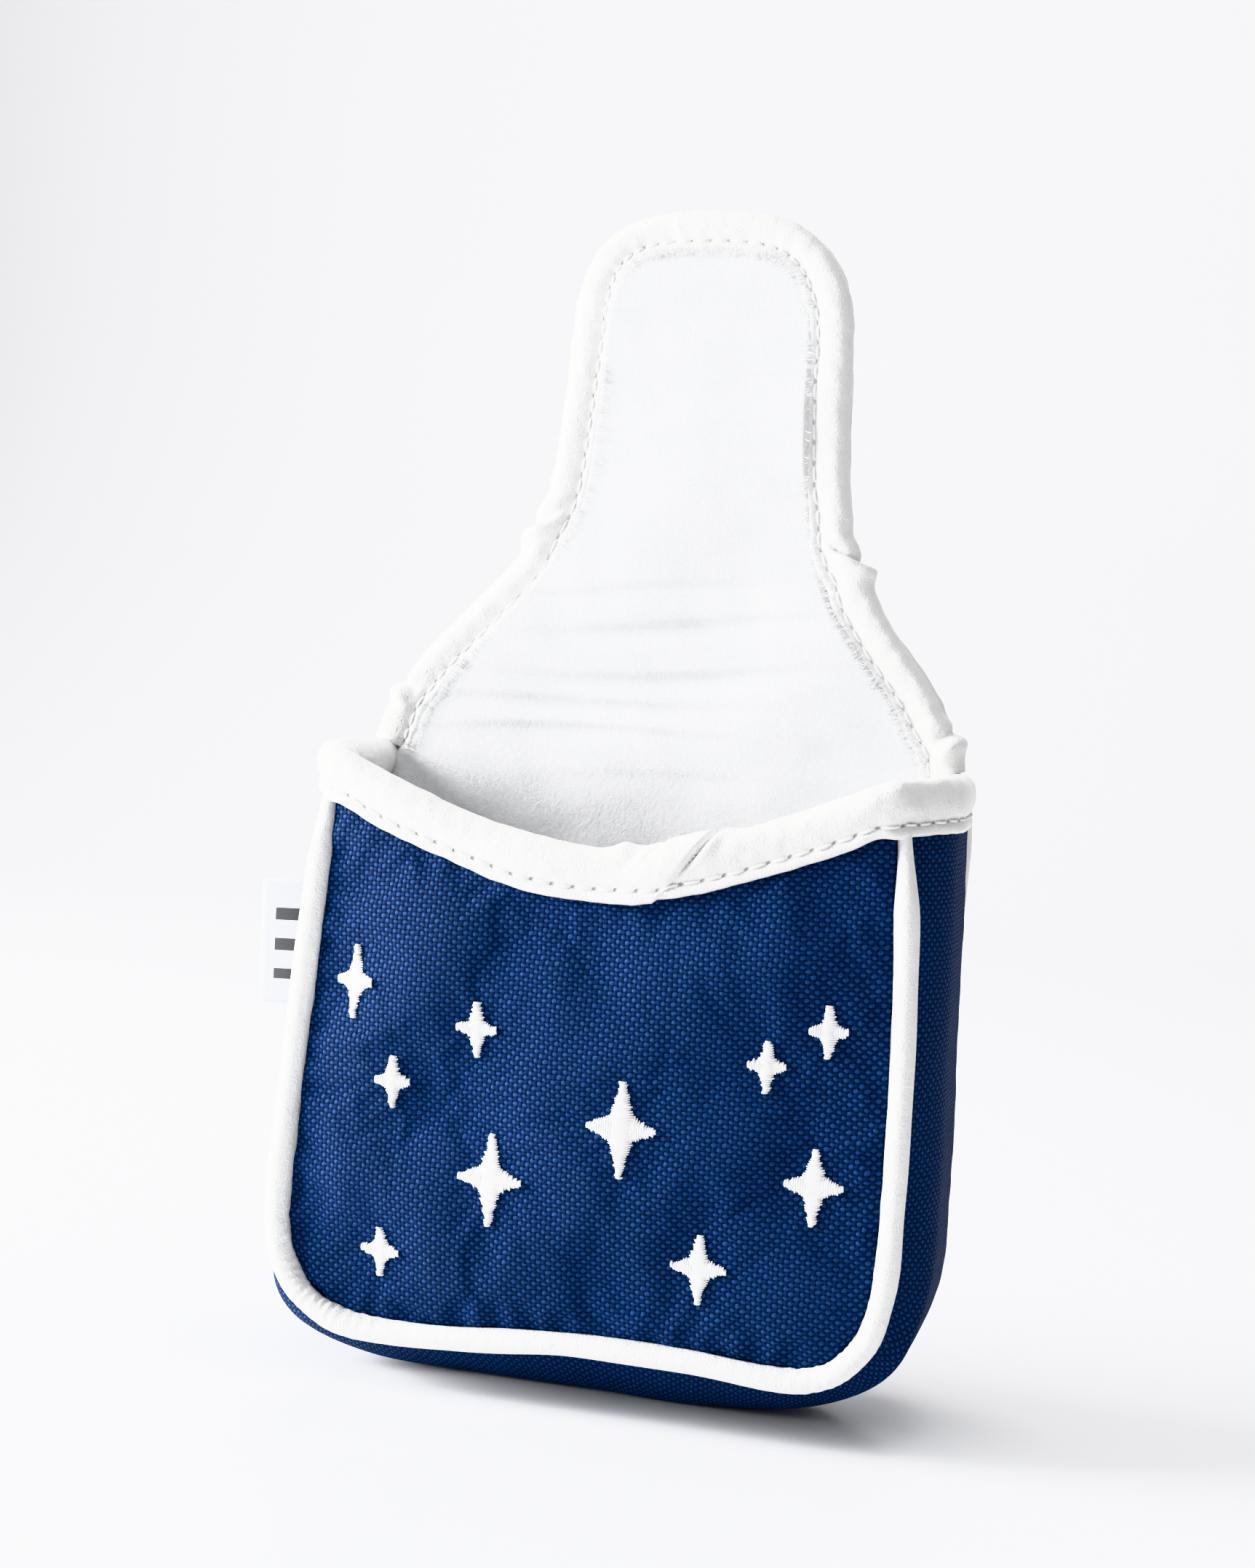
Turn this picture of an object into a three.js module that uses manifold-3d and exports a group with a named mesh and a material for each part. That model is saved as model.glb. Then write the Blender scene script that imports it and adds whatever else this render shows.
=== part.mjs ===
// Mallet putter head cover: a padded canvas pouch whose back runs on as a flap that folds over the mouth.
// Millimetres, +Z up. The front faces -Y, X = 0 is the middle and the origin is in the flat of the base.
import * as THREE from "three";
import { mergeVertices } from "three/addons/utils/BufferGeometryUtils.js";
import Module from "manifold-3d";

const wasm = await Module();
wasm.setup();

// Pouch
const DEPTH = 40; // between the centre planes of the two pipings
const PIPING_RADIUS = 2.5;
const GAP = 0.3; // clearance between neighbouring pieces
const CROWN = 5; // bulge of the front panel past its piping
const CROWN_HEIGHT = 62; // height of the fullest part of the front panel
const CROWN_FALL_BELOW = 48.5; // from there down to where the bulge has gone
const CROWN_FALL_ABOVE = 116; // the same upwards, beyond the mouth
const CROWN_HALF_WIDTH = 60;
const BASE_FLAT = { front: -8.6, rear: 12.9 }; // the stretch of the base that lies on the ground
const MOUTH_LOW = 103.9; // cloth edge at the middle of the mouth
const MOUTH_RISE = 16; // and how much higher it is at MOUTH_REACH
const MOUTH_REACH = 54;
const MOUTH_POWER = 1.6;
const SIDE_TOP = 120.2; // cloth edge along the gusset

// Half outlines [x, z] from the middle of the base up to the mouth, matched point by point.
const FRONT_SEAM = [
  [0, 13.5], [22, 13.5], [43, 13.5], [54.3, 18.2], [59, 29.5], [59.4, 48], [58.3, 75], [56.5, 98], [54.2, 118.7],
];
const WIDEST_LINE = [
  [0, 0], [20, 0], [42, 3.2], [56.5, 12.5], [62.6, 27], [63.2, 48], [62.8, 75], [62.6, 98], [62, SIDE_TOP],
];
const BACK_SEAM = [
  [0, 13.5], [22, 13.5], [43, 13.5], [54.3, 18.2], [59, 29.5], [59.2, 48], [59.2, 75], [59.8, 98], [60.8, SIDE_TOP],
];

// Flap, in its own frame: x across, h up from the root fold, d back from the face of the lining.
const ROOT_FOLD_Z = 122;
const FLAP_TILT = 5; // degrees back from upright when it stands open
const TIP_FOLD_H = 43;
const FOLD_SLOPE = 0.277; // each side of a fold is cut back this much per millimetre behind its axis
const FOLD_GAP = 0.15;
const FLAP_EDGE = [
  [60.5, 0], [58.6, 5.5], [52.6, 16.5], [42.8, 28.4], [35.6, 38.5], [31, 52], [29.6, 66], [28.9, 83],
  [27.8, 93], [23.8, 102], [15, 108.3], [0, 110],
];

// Walls: canvas, foam and fleece lining, thinner where a binding or a seam presses them together.
const CANVAS = 0.8;
const OPEN_WALL = layers(2.4, 1.4);
const BOUND_WALL = layers(1.2, 0.8);
const WALL = OPEN_WALL.lining[1];
const BOUND = BOUND_WALL.lining[1];
const LAYER_INSET = { panel: 0, foam: 0.5, lining: 1 }; // each layer is cut a little smaller than the last
// Where each wall thickens from its bound edge: the shares of the outline, shrunk towards its middle [x, z]
const FRONT_PAD = { middle: [0, 60], bound: 0.77, open: 0.66, inner: 0.35 };
const BACK_PAD = { middle: [0, 62], bound: 0.86, open: 0.76 };
const FLAP_BASE_PAD = { middle: [0, 21], bound: 0.68, open: 0.56 };
const FLAP_TONGUE_PAD = { middle: [0, 77], bound: 0.64, open: 0.52 };

// Binding: a strip folded over the edge
const LEATHER = 0.8;
const BINDING_LEG = 8.5;
const BINDING_TOP = GAP + LEATHER;

// Piping: a leather tube round a cord
const PIPING_BORE = 1.9;
const CORD_RADIUS = 1.6;
const FRONT_PIPING_TOP = 108;
const REAR_PIPING_TOP = 118.6;

// Magnets of the closure
const MAGNET_THICKNESS = 1.6;
const FRONT_MAGNET_RADIUS = 9;
const FLAP_MAGNET_RADIUS = 7;
const FLAP_MAGNET_H = 86;
const FRONT_MAGNET_Z = ROOT_FOLD_Z - (FLAP_MAGNET_H - TIP_FOLD_H);

// Embroidered stars: [x, z, height, width]
const STAR_THICKNESS = 0.7;
const STARS = [
  [-45.1, 76.3, 13, 7.5], [-20, 69.9, 9.8, 7], [-36.3, 58.5, 9.4, 6.5], [-16.2, 42.4, 16.6, 11.6],
  [-38, 25.9, 9, 7.2], [8.6, 54.8, 17.2, 12.2], [23.6, 30.8, 12.5, 9.2], [34, 68.3, 8.9, 6.4],
  [44.5, 75.3, 8.7, 6.4], [43.3, 47.7, 13.3, 10],
];

// Side label: a folded ribbon that sticks out of the rear seam
const TAG = { length: 23, height: 26, low: 65, thickness: 0.9, slit: 0.3, angle: -8, seamX: -59.2 };

const finishes = {
  canvas: new THREE.MeshStandardMaterial({ color: 0x1d3f8c, roughness: 0.85, metalness: 0 }),
  leather: new THREE.MeshStandardMaterial({ color: 0xf3f1ee, roughness: 0.5, metalness: 0 }),
  fleece: new THREE.MeshStandardMaterial({ color: 0xf8f8f7, roughness: 0.95, metalness: 0 }),
  foam: new THREE.MeshStandardMaterial({ color: 0xd9d6cf, roughness: 0.9, metalness: 0 }),
  cord: new THREE.MeshStandardMaterial({ color: 0xe6e2d8, roughness: 0.9, metalness: 0 }),
  thread: new THREE.MeshStandardMaterial({ color: 0xf6f6f4, roughness: 0.45, metalness: 0 }),
  label: new THREE.MeshStandardMaterial({ color: 0xf2f3f5, roughness: 0.7, metalness: 0 }),
  magnet: new THREE.MeshStandardMaterial({ color: 0xa3a6a9, roughness: 0.3, metalness: 1 }),
};

const LAYER_FINISH = { panel: finishes.canvas, foam: finishes.foam, lining: finishes.fleece };
const EDGE_STEP = 0.0005; // share of a curve moved on at a time in looking for a height on it

// The depths [from, to] of each layer below the outer face, for a given foam and lining.
function layers(foam, lining) {
  const foamStart = CANVAS + GAP;
  const liningStart = foamStart + foam + GAP;
  return {
    panel: [0, CANVAS],
    foam: [foamStart, foamStart + foam],
    lining: [liningStart, liningStart + lining],
  };
}

// Depth of one face of a layer; openness runs from 0 in a bound edge to 1 in the open wall.
function layerDepth(layer, face, openness) {
  return THREE.MathUtils.lerp(BOUND_WALL[layer][face], OPEN_WALL[layer][face], openness);
}

// How far a face at depth d behind a fold's axis stops short of the fold.
function foldInset(d) {
  return FOLD_GAP + FOLD_SLOPE * d;
}

function layerFoldInset(layer) {
  return foldInset(WALL - Math.min(OPEN_WALL[layer][0], BOUND_WALL[layer][0]));
}

// Geometry from points and triangles, turned so that its faces point outwards.
function closedGeometry(points, triangles) {
  let volume = 0;
  for (let i = 0; i < triangles.length; i += 3) {
    const [a, b, c] = triangles.slice(i, i + 3).map((k) => points[k]);
    volume += a.dot(b.clone().cross(c));
  }
  const geometry = new THREE.BufferGeometry().setFromPoints(points);
  geometry.setIndex(volume < 0 ? [...triangles].reverse() : triangles);
  return geometry;
}

function addQuad(triangles, a, b, c, d) {
  triangles.push(a, b, c, a, c, d);
}

// A closed sheet whose two faces are pointAt(i, j, face), for face 0 and 1.
function sheet(rows, columns, pointAt) {
  const points = [];
  for (const face of [0, 1])
    for (let i = 0; i <= rows; i++)
      for (let j = 0; j <= columns; j++) points.push(pointAt(i, j, face));
  const at = (face, i, j) => (face * (rows + 1) + i) * (columns + 1) + j;
  const triangles = [];
  for (let i = 0; i < rows; i++)
    for (let j = 0; j < columns; j++) {
      addQuad(triangles, at(0, i, j), at(0, i + 1, j), at(0, i + 1, j + 1), at(0, i, j + 1));
      addQuad(triangles, at(1, i, j), at(1, i, j + 1), at(1, i + 1, j + 1), at(1, i + 1, j));
    }
  for (let i = 0; i < rows; i++) {
    addQuad(triangles, at(0, i + 1, 0), at(0, i, 0), at(1, i, 0), at(1, i + 1, 0));
    addQuad(triangles, at(0, i, columns), at(0, i + 1, columns), at(1, i + 1, columns), at(1, i, columns));
  }
  for (let j = 0; j < columns; j++) {
    addQuad(triangles, at(0, 0, j), at(0, 0, j + 1), at(1, 0, j + 1), at(1, 0, j));
    addQuad(triangles, at(0, rows, j + 1), at(0, rows, j), at(1, rows, j), at(1, rows, j + 1));
  }
  return closedGeometry(points, triangles);
}

// A closed pad over an outline: rings of the outline shrunk towards centre by each scale, then a point there.
function pad(outline, centre, scales, faceAt) {
  const count = outline.length;
  const points = [];
  for (const face of [0, 1]) {
    for (const scale of scales)
      for (const corner of outline) points.push(faceAt(corner.clone().lerp(centre, 1 - scale), scale, face));
    points.push(faceAt(centre, 0, face));
  }
  const at = (face, ring, i) => face * (count * scales.length + 1) + ring * count + (i % count);
  const middle = (face) => at(face, scales.length, 0);
  const triangles = [];
  for (let i = 0; i < count; i++) {
    for (let ring = 0; ring < scales.length - 1; ring++) {
      addQuad(triangles, at(0, ring, i), at(0, ring, i + 1), at(0, ring + 1, i + 1), at(0, ring + 1, i));
      addQuad(triangles, at(1, ring, i), at(1, ring + 1, i), at(1, ring + 1, i + 1), at(1, ring, i + 1));
    }
    const last = scales.length - 1;
    triangles.push(at(0, last, i), at(0, last, i + 1), middle(0));
    triangles.push(at(1, last, i + 1), at(1, last, i), middle(1));
    addQuad(triangles, at(0, 0, i + 1), at(0, 0, i), at(1, 0, i), at(1, 0, i + 1));
  }
  return closedGeometry(points, triangles);
}

// A section of [across, down] points carried along stations, each { at, across, down } in space.
function sweep(section, stations) {
  const count = section.length;
  const points = stations.flatMap(({ at, across, down }) =>
    section.map((p) => at.clone().addScaledVector(across, p.x).addScaledVector(down, p.y)),
  );
  const triangles = [];
  for (let s = 0; s < stations.length - 1; s++)
    for (let i = 0; i < count; i++) {
      const next = (i + 1) % count;
      addQuad(triangles, s * count + i, s * count + next, (s + 1) * count + next, (s + 1) * count + i);
    }
  const end = (stations.length - 1) * count;
  for (const [a, b, c] of THREE.ShapeUtils.triangulateShape(section, [])) {
    const left = THREE.ShapeUtils.area([section[a], section[b], section[c]]) > 0;
    const [first, second] = left ? [b, c] : [c, b];
    triangles.push(a, second, first);
    triangles.push(end + a, end + first, end + second);
  }
  return closedGeometry(points, triangles);
}

function toSolid(geometry) {
  const bare = geometry.clone();
  bare.deleteAttribute("normal");
  bare.deleteAttribute("uv");
  const merged = mergeVertices(bare);
  const mesh = new wasm.Mesh({
    numProp: 3,
    vertProperties: merged.attributes.position.array,
    triVerts: new Uint32Array(merged.index.array),
  });
  return new wasm.Manifold(mesh);
}

function cutAway(geometry, tool) {
  const mesh = toSolid(geometry).subtract(toSolid(tool)).getMesh();
  const cut = new THREE.BufferGeometry();
  cut.setAttribute("position", new THREE.BufferAttribute(mesh.vertProperties, mesh.numProp));
  cut.setIndex(new THREE.BufferAttribute(mesh.triVerts, 1));
  return cut;
}

function addMesh(group, name, geometry, material) {
  const mesh = new THREE.Mesh(geometry, material);
  mesh.name = name;
  group.add(mesh);
  return mesh;
}

// The whole U of a half outline, from the left top corner round the base to the right top corner.
function wholeOutline(half) {
  const right = half.map(([x, z]) => new THREE.Vector2(x, z));
  const left = half.slice(1).map(([x, z]) => new THREE.Vector2(-x, z));
  return new THREE.SplineCurve([...left.reverse(), ...right]);
}

// A point of a plane curve moved to its left by inset.
function insetPoint(curve, t, inset) {
  const tangent = curve.getTangent(t);
  return curve.getPoint(t).add(new THREE.Vector2(-tangent.y, tangent.x).multiplyScalar(inset));
}

const frontSeam = wholeOutline(FRONT_SEAM);
const widestLine = wholeOutline(WIDEST_LINE);
const backSeam = wholeOutline(BACK_SEAM);
const FRONT_Y = -DEPTH / 2;
const BACK_Y = DEPTH / 2;
const SEAM_INSET = PIPING_RADIUS + GAP + 0.05;
const GUSSET_EDGE = DEPTH / 2 - PIPING_RADIUS - GAP;
const GUSSET_INNER_EDGE = 15.4;

function mouthEdge(x) {
  return MOUTH_LOW + MOUTH_RISE * Math.pow(Math.abs(x) / MOUTH_REACH, MOUTH_POWER);
}

// Outer face of the front panel.
function frontFace(x, z) {
  const fall = z < CROWN_HEIGHT ? CROWN_FALL_BELOW : CROWN_FALL_ABOVE;
  const across = 1 - (x / CROWN_HALF_WIDTH) ** 2;
  const up = 1 - ((z - CROWN_HEIGHT) / fall) ** 2;
  return FRONT_Y - CROWN * Math.max(0, across) * Math.max(0, up);
}

// How much of its bulge the gusset has at a depth y: all of it over the flat of the base, none at its seams.
function bulgeShare(y) {
  const [edge, flat] = y < 0 ? [-GUSSET_EDGE, BASE_FLAT.front] : [GUSSET_EDGE, BASE_FLAT.rear];
  const round = THREE.MathUtils.clamp((y - flat) / (edge - flat), 0, 1);
  return Math.cos((round * Math.PI) / 2);
}

// Outer face of the gusset, at t along the U and depth y.
function gussetFace(t, y) {
  const front = frontSeam.getPoint(t);
  const back = backSeam.getPoint(t);
  const share = (y + GUSSET_EDGE) / (2 * GUSSET_EDGE);
  const point = front.lerp(back, share).lerp(widestLine.getPoint(t), bulgeShare(y));
  return new THREE.Vector3(point.x, y, Math.max(0, point.y));
}

// The same face moved inwards, square to itself.
function gussetInside(t, y, depth) {
  const step = 0.004;
  const t0 = Math.max(0, t - step);
  const t1 = Math.min(1, t + step);
  const y0 = Math.max(-GUSSET_EDGE, y - 0.5);
  const y1 = Math.min(GUSSET_EDGE, y + 0.5);
  const along = gussetFace(t1, y).sub(gussetFace(t0, y));
  const across = gussetFace(t, y1).sub(gussetFace(t, y0));
  return gussetFace(t, y).addScaledVector(across.cross(along).normalize(), -depth);
}

const pouch = new THREE.Group();

// Front panel, foam and lining
function frontOutline(layer) {
  const inset = SEAM_INSET + LAYER_INSET[layer];
  const drop = LAYER_INSET[layer] / 4;
  const outline = [];
  const aroundSteps = 26;
  for (let i = 0; i <= aroundSteps; i++) {
    const point = insetPoint(frontSeam, i / aroundSteps, inset);
    point.y = Math.min(point.y, mouthEdge(point.x) - drop);
    outline.push(point);
  }
  const mouthSteps = 10;
  const reach = outline[aroundSteps].x;
  for (let i = 1; i < mouthSteps; i++) {
    const x = reach * (1 - (2 * i) / mouthSteps);
    outline.push(new THREE.Vector2(x, mouthEdge(x) - drop));
  }
  return outline;
}

function frontLayer(layer) {
  const { middle, bound, open, inner } = FRONT_PAD;
  return pad(frontOutline(layer), new THREE.Vector2(...middle), [1, bound, open, inner], (p, scale, face) => {
    const openness = scale >= bound ? 0 : 1;
    return new THREE.Vector3(p.x, frontFace(p.x, p.y) + layerDepth(layer, face, openness), p.y);
  });
}

const frontMagnetY = frontFace(0, FRONT_MAGNET_Z) + (OPEN_WALL.foam[0] + OPEN_WALL.foam[1]) / 2;

function disc(radius, thickness, y, z) {
  const geometry = new THREE.CylinderGeometry(radius, radius, thickness, 24);
  return geometry.translate(0, y, z);
}

const frontRecess = disc(FRONT_MAGNET_RADIUS + GAP, 4 * WALL, frontMagnetY, FRONT_MAGNET_Z);
addMesh(pouch, "front_panel", frontLayer("panel"), finishes.canvas);
addMesh(pouch, "front_foam", cutAway(frontLayer("foam"), frontRecess), finishes.foam);
addMesh(pouch, "front_lining", frontLayer("lining"), finishes.fleece);
const frontMagnet = disc(FRONT_MAGNET_RADIUS, MAGNET_THICKNESS, frontMagnetY, FRONT_MAGNET_Z);
addMesh(pouch, "front_magnet", frontMagnet, finishes.magnet);

// Gusset: the strip that makes the sides and the base
function gussetLayer(layer, depths) {
  const steps = 32;
  const compressed = 12; // millimetres below the mouth that the binding presses together
  const ramp = 5;
  return sheet(steps, depths.length - 1, (i, j, face) => {
    const t = i / steps;
    const y = depths[j];
    const belowMouth = SIDE_TOP - gussetFace(t, y).z;
    const openness = THREE.MathUtils.clamp((belowMouth - compressed) / ramp, 0, 1);
    return gussetInside(t, y, layerDepth(layer, face, openness));
  });
}

const innerDepths = [-GUSSET_INNER_EDGE, -13.2, -11, BASE_FLAT.front, 2, BASE_FLAT.rear, 14.2, GUSSET_INNER_EDGE];
const outerDepths = [-GUSSET_EDGE, ...innerDepths, GUSSET_EDGE];
addMesh(pouch, "gusset_panel", gussetLayer("panel", outerDepths), finishes.canvas);
addMesh(pouch, "gusset_foam", gussetLayer("foam", innerDepths), finishes.foam);
addMesh(pouch, "gusset_lining", gussetLayer("lining", innerDepths), finishes.fleece);

// Back panel, up to the root fold
function backLayer(layer) {
  const inset = SEAM_INSET + LAYER_INSET[layer];
  const top = ROOT_FOLD_Z - layerFoldInset(layer);
  const outline = [];
  const aroundSteps = 24;
  for (let i = 0; i <= aroundSteps; i++) outline.push(insetPoint(backSeam, i / aroundSteps, inset));
  const topSteps = 8;
  const reach = outline[aroundSteps].x;
  for (let i = 0; i <= topSteps; i++) outline.push(new THREE.Vector2(reach * (1 - (2 * i) / topSteps), top));
  const { middle, bound, open } = BACK_PAD;
  return pad(outline, new THREE.Vector2(...middle), [1, bound, open], (p, scale, face) => {
    const openness = scale >= bound ? 0 : 1;
    return new THREE.Vector3(p.x, BACK_Y - layerDepth(layer, face, openness), p.y);
  });
}

addMesh(pouch, "back_panel", backLayer("panel"), finishes.canvas);
addMesh(pouch, "back_foam", backLayer("foam"), finishes.foam);
addMesh(pouch, "back_lining", backLayer("lining"), finishes.fleece);

// Pipings: tubes along both seams, up to where the binding covers their ends
class SeamPath extends THREE.Curve {
  constructor(seam, y, top) {
    super();
    this.seam = seam;
    this.y = y;
    this.first = 0;
    while (seam.getPoint(this.first).y > top) this.first += EDGE_STEP;
  }

  getPoint(t) {
    const point = this.seam.getPoint(THREE.MathUtils.lerp(this.first, 1 - this.first, t));
    return new THREE.Vector3(point.x, this.y, point.y);
  }
}

function polygon(radius, sides) {
  const points = [];
  for (let i = 0; i < sides; i++) {
    const angle = (2 * Math.PI * i) / sides;
    points.push(new THREE.Vector2(radius * Math.cos(angle), radius * Math.sin(angle)));
  }
  return points;
}

function addPiping(name, path) {
  const steps = 36;
  const tube = new THREE.Shape(polygon(PIPING_RADIUS, 8));
  tube.holes.push(new THREE.Path(polygon(PIPING_BORE, 8)));
  const along = { steps, extrudePath: path, bevelEnabled: false };
  addMesh(pouch, name, new THREE.ExtrudeGeometry(tube, along), finishes.leather);
  const cord = new THREE.ExtrudeGeometry(new THREE.Shape(polygon(CORD_RADIUS, 6)), along);
  addMesh(pouch, name + "_cord", cord, finishes.cord);
}

addPiping("front_piping", new SeamPath(frontSeam, FRONT_Y, FRONT_PIPING_TOP));
addPiping("rear_piping", new SeamPath(backSeam, BACK_Y, REAR_PIPING_TOP));

// Section of a binding that is folded over an edge: across is outwards from the face, down is into the wall.
const bindingSection = [
  [GAP, BINDING_LEG], [GAP, -GAP], [-BOUND - GAP, -GAP], [-BOUND - GAP, BINDING_LEG],
  [-BOUND - BINDING_TOP, BINDING_LEG], [-BOUND - BINDING_TOP, 0.5], [-BOUND, -BINDING_TOP],
  [0, -BINDING_TOP], [BINDING_TOP, 0.5], [BINDING_TOP, BINDING_LEG],
].map(([across, down]) => new THREE.Vector2(across, down));

// Mouth binding: from the rear corner of one gusset, round the front, to the other rear corner
function mouthStation(at, below, tangent) {
  const down = below.sub(at).normalize();
  return { at, down, across: down.clone().cross(tangent).normalize() };
}

function mouthStations() {
  const stations = [];
  const gussetAt = (t, y) => {
    const lower = t < 0.5 ? 0.03 : 0.97;
    const step = gussetFace(t, y - 0.5).sub(gussetFace(t, y));
    return mouthStation(gussetFace(t, y), gussetFace(lower, y), step);
  };
  for (const y of [...innerDepths].reverse()) stations.push(gussetAt(0, y));
  const frontSteps = 20;
  const reach = 51;
  for (let i = 0; i <= frontSteps; i++) {
    const x = reach * ((2 * i) / frontSteps - 1);
    const at = (shift, z) => new THREE.Vector3(x + shift, frontFace(x + shift, z), z);
    const z = mouthEdge(x);
    const slope = (mouthEdge(x + 0.5) - z) / 0.5;
    const tangent = new THREE.Vector3(1, (at(0.5, z).y - at(0, z).y) / 0.5, slope);
    stations.push(mouthStation(at(0, z), at(0, z - BINDING_LEG), tangent));
  }
  for (const y of innerDepths) {
    const station = gussetAt(1, y);
    station.across.negate();
    stations.push(station);
  }
  return stations;
}

// Between the front and each gusset the binding turns a corner outside the piping.
function withCorners(stations, cornerAt, cornerOut) {
  return stations.flatMap((station, i) => {
    const next = stations[i + 1];
    if (!next || Math.sign(next.at.y - cornerAt) === Math.sign(station.at.y - cornerAt)) return [station];
    const across = station.across.clone().add(next.across).normalize();
    const at = station.at.clone().add(next.at).multiplyScalar(0.5).addScaledVector(across, cornerOut);
    const down = station.down.clone().add(next.down).normalize();
    return [station, { at, across, down }];
  });
}

const mouthBinding = sweep(bindingSection, withCorners(mouthStations(), -17.5, 1.6));
addMesh(pouch, "mouth_binding", mouthBinding, finishes.leather);

// Stars embroidered on the front panel
function starShape(height, width) {
  const tip = 0.35;
  const [up, out] = [height / 2, width / 2];
  const [waistX, waistZ] = [out * 0.2, up * 0.2];
  const star = new THREE.Shape();
  star.moveTo(tip, up);
  star.lineTo(-tip, up);
  star.quadraticCurveTo(-waistX, waistZ, -out, tip);
  star.lineTo(-out, -tip);
  star.quadraticCurveTo(-waistX, -waistZ, -tip, -up);
  star.lineTo(tip, -up);
  star.quadraticCurveTo(waistX, -waistZ, out, -tip);
  star.lineTo(out, tip);
  star.quadraticCurveTo(waistX, waistZ, tip, up);
  return star;
}

STARS.forEach(([x, z, height, width], i) => {
  const options = { depth: STAR_THICKNESS, bevelEnabled: false, curveSegments: 3 };
  const star = new THREE.ExtrudeGeometry(starShape(height, width), options).translate(0, 0, GAP);
  const mesh = addMesh(pouch, "star_" + String(i + 1).padStart(2, "0"), star, finishes.thread);
  const slopeX = frontFace(x + 0.5, z) - frontFace(x - 0.5, z);
  const slopeZ = frontFace(x, z + 0.5) - frontFace(x, z - 0.5);
  const outwards = new THREE.Vector3(slopeX, -1, slopeZ).normalize();
  const across = new THREE.Vector3(0, 0, 1).cross(outwards).normalize();
  mesh.position.set(x, frontFace(x, z), z);
  mesh.setRotationFromMatrix(new THREE.Matrix4().makeBasis(across, outwards.clone().cross(across), outwards));
});

// Side label: a ribbon folded in two, its fold outwards
function tagShape() {
  const { length, thickness, slit } = TAG;
  const foldEnd = length - 0.6;
  const outline = [
    [0, -thickness / 2], [length - 0.3, -thickness / 2], [length, 0], [length - 0.3, thickness / 2],
    [0, thickness / 2], [0, slit / 2], [foldEnd, slit / 2], [foldEnd, -slit / 2], [0, -slit / 2],
  ];
  return new THREE.Shape(outline.map(([x, y]) => new THREE.Vector2(x, y)));
}

const tag = new THREE.ExtrudeGeometry(tagShape(), { depth: TAG.height, bevelEnabled: false });
tag.translate(PIPING_RADIUS + GAP, 0, TAG.low);
const tagMesh = addMesh(pouch, "side_tag", tag, finishes.label);
tagMesh.position.set(TAG.seamX, BACK_Y, 0);
tagMesh.rotation.z = THREE.MathUtils.degToRad(180 - TAG.angle);

// Flap: a base that spans the mouth and a tongue that comes down over the front
const flap = new THREE.Group();
flap.position.set(0, BACK_Y - WALL, ROOT_FOLD_Z);
flap.rotation.x = THREE.MathUtils.degToRad(-FLAP_TILT);

const flapEdge = new THREE.SplineCurve([
  ...FLAP_EDGE.map(([x, h]) => new THREE.Vector2(x, h)),
  ...FLAP_EDGE.slice(0, -1).reverse().map(([x, h]) => new THREE.Vector2(-x, h)),
]);

// The share of the edge curve at which its line moved inwards by inset first reaches the height h.
function edgeShareAt(h, inset = 0) {
  let t = 0;
  while (insetPoint(flapEdge, t, inset).y < h) t += EDGE_STEP;
  return t;
}

function edgePoints(from, to, steps, inset) {
  const points = [];
  for (let i = 0; i <= steps; i++) points.push(insetPoint(flapEdge, THREE.MathUtils.lerp(from, to, i / steps), inset));
  return points;
}

function foldPoints(from, to, h, steps) {
  const points = [];
  for (let i = 1; i < steps; i++) points.push(new THREE.Vector2(THREE.MathUtils.lerp(from, to, i / steps), h));
  return points;
}

function flapLayer(layer, outline, { middle, bound, open }) {
  return pad(outline, new THREE.Vector2(...middle), [1, bound, open], (p, scale, face) => {
    const openness = scale >= bound ? 0 : 1;
    return new THREE.Vector3(p.x, WALL - layerDepth(layer, face, openness), p.y);
  });
}

function flapBaseOutline(layer) {
  const inset = BINDING_TOP + LAYER_INSET[layer];
  const cut = layerFoldInset(layer);
  const right = edgePoints(edgeShareAt(cut, inset), edgeShareAt(TIP_FOLD_H - cut, inset), 8, inset);
  const left = right.map((p) => new THREE.Vector2(-p.x, p.y)).reverse();
  const top = foldPoints(right[right.length - 1].x, left[0].x, TIP_FOLD_H - cut, 4);
  const bottom = foldPoints(left[left.length - 1].x, right[0].x, cut, 6);
  return [...right, ...top, ...left, ...bottom];
}

function flapTongueOutline(layer) {
  const inset = BINDING_TOP + LAYER_INSET[layer];
  const cut = layerFoldInset(layer);
  const from = edgeShareAt(TIP_FOLD_H + cut, inset);
  const edge = edgePoints(from, 1 - from, 26, inset);
  return [...edge, ...foldPoints(edge[edge.length - 1].x, edge[0].x, TIP_FOLD_H + cut, 4)];
}

const flapMagnetD = WALL - (OPEN_WALL.foam[0] + OPEN_WALL.foam[1]) / 2;
const flapRecess = disc(FLAP_MAGNET_RADIUS + GAP, 4 * WALL, flapMagnetD, FLAP_MAGNET_H);
for (const layer of ["panel", "foam", "lining"]) {
  const base = flapLayer(layer, flapBaseOutline(layer), FLAP_BASE_PAD);
  addMesh(flap, "flap_base_" + layer, base, LAYER_FINISH[layer]);
  const tongue = flapLayer(layer, flapTongueOutline(layer), FLAP_TONGUE_PAD);
  const recessed = layer === "foam" ? cutAway(tongue, flapRecess) : tongue;
  addMesh(flap, "flap_tongue_" + layer, recessed, LAYER_FINISH[layer]);
}
const flapMagnet = disc(FLAP_MAGNET_RADIUS, MAGNET_THICKNESS, flapMagnetD, FLAP_MAGNET_H);
addMesh(flap, "flap_magnet", flapMagnet, finishes.magnet);

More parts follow.
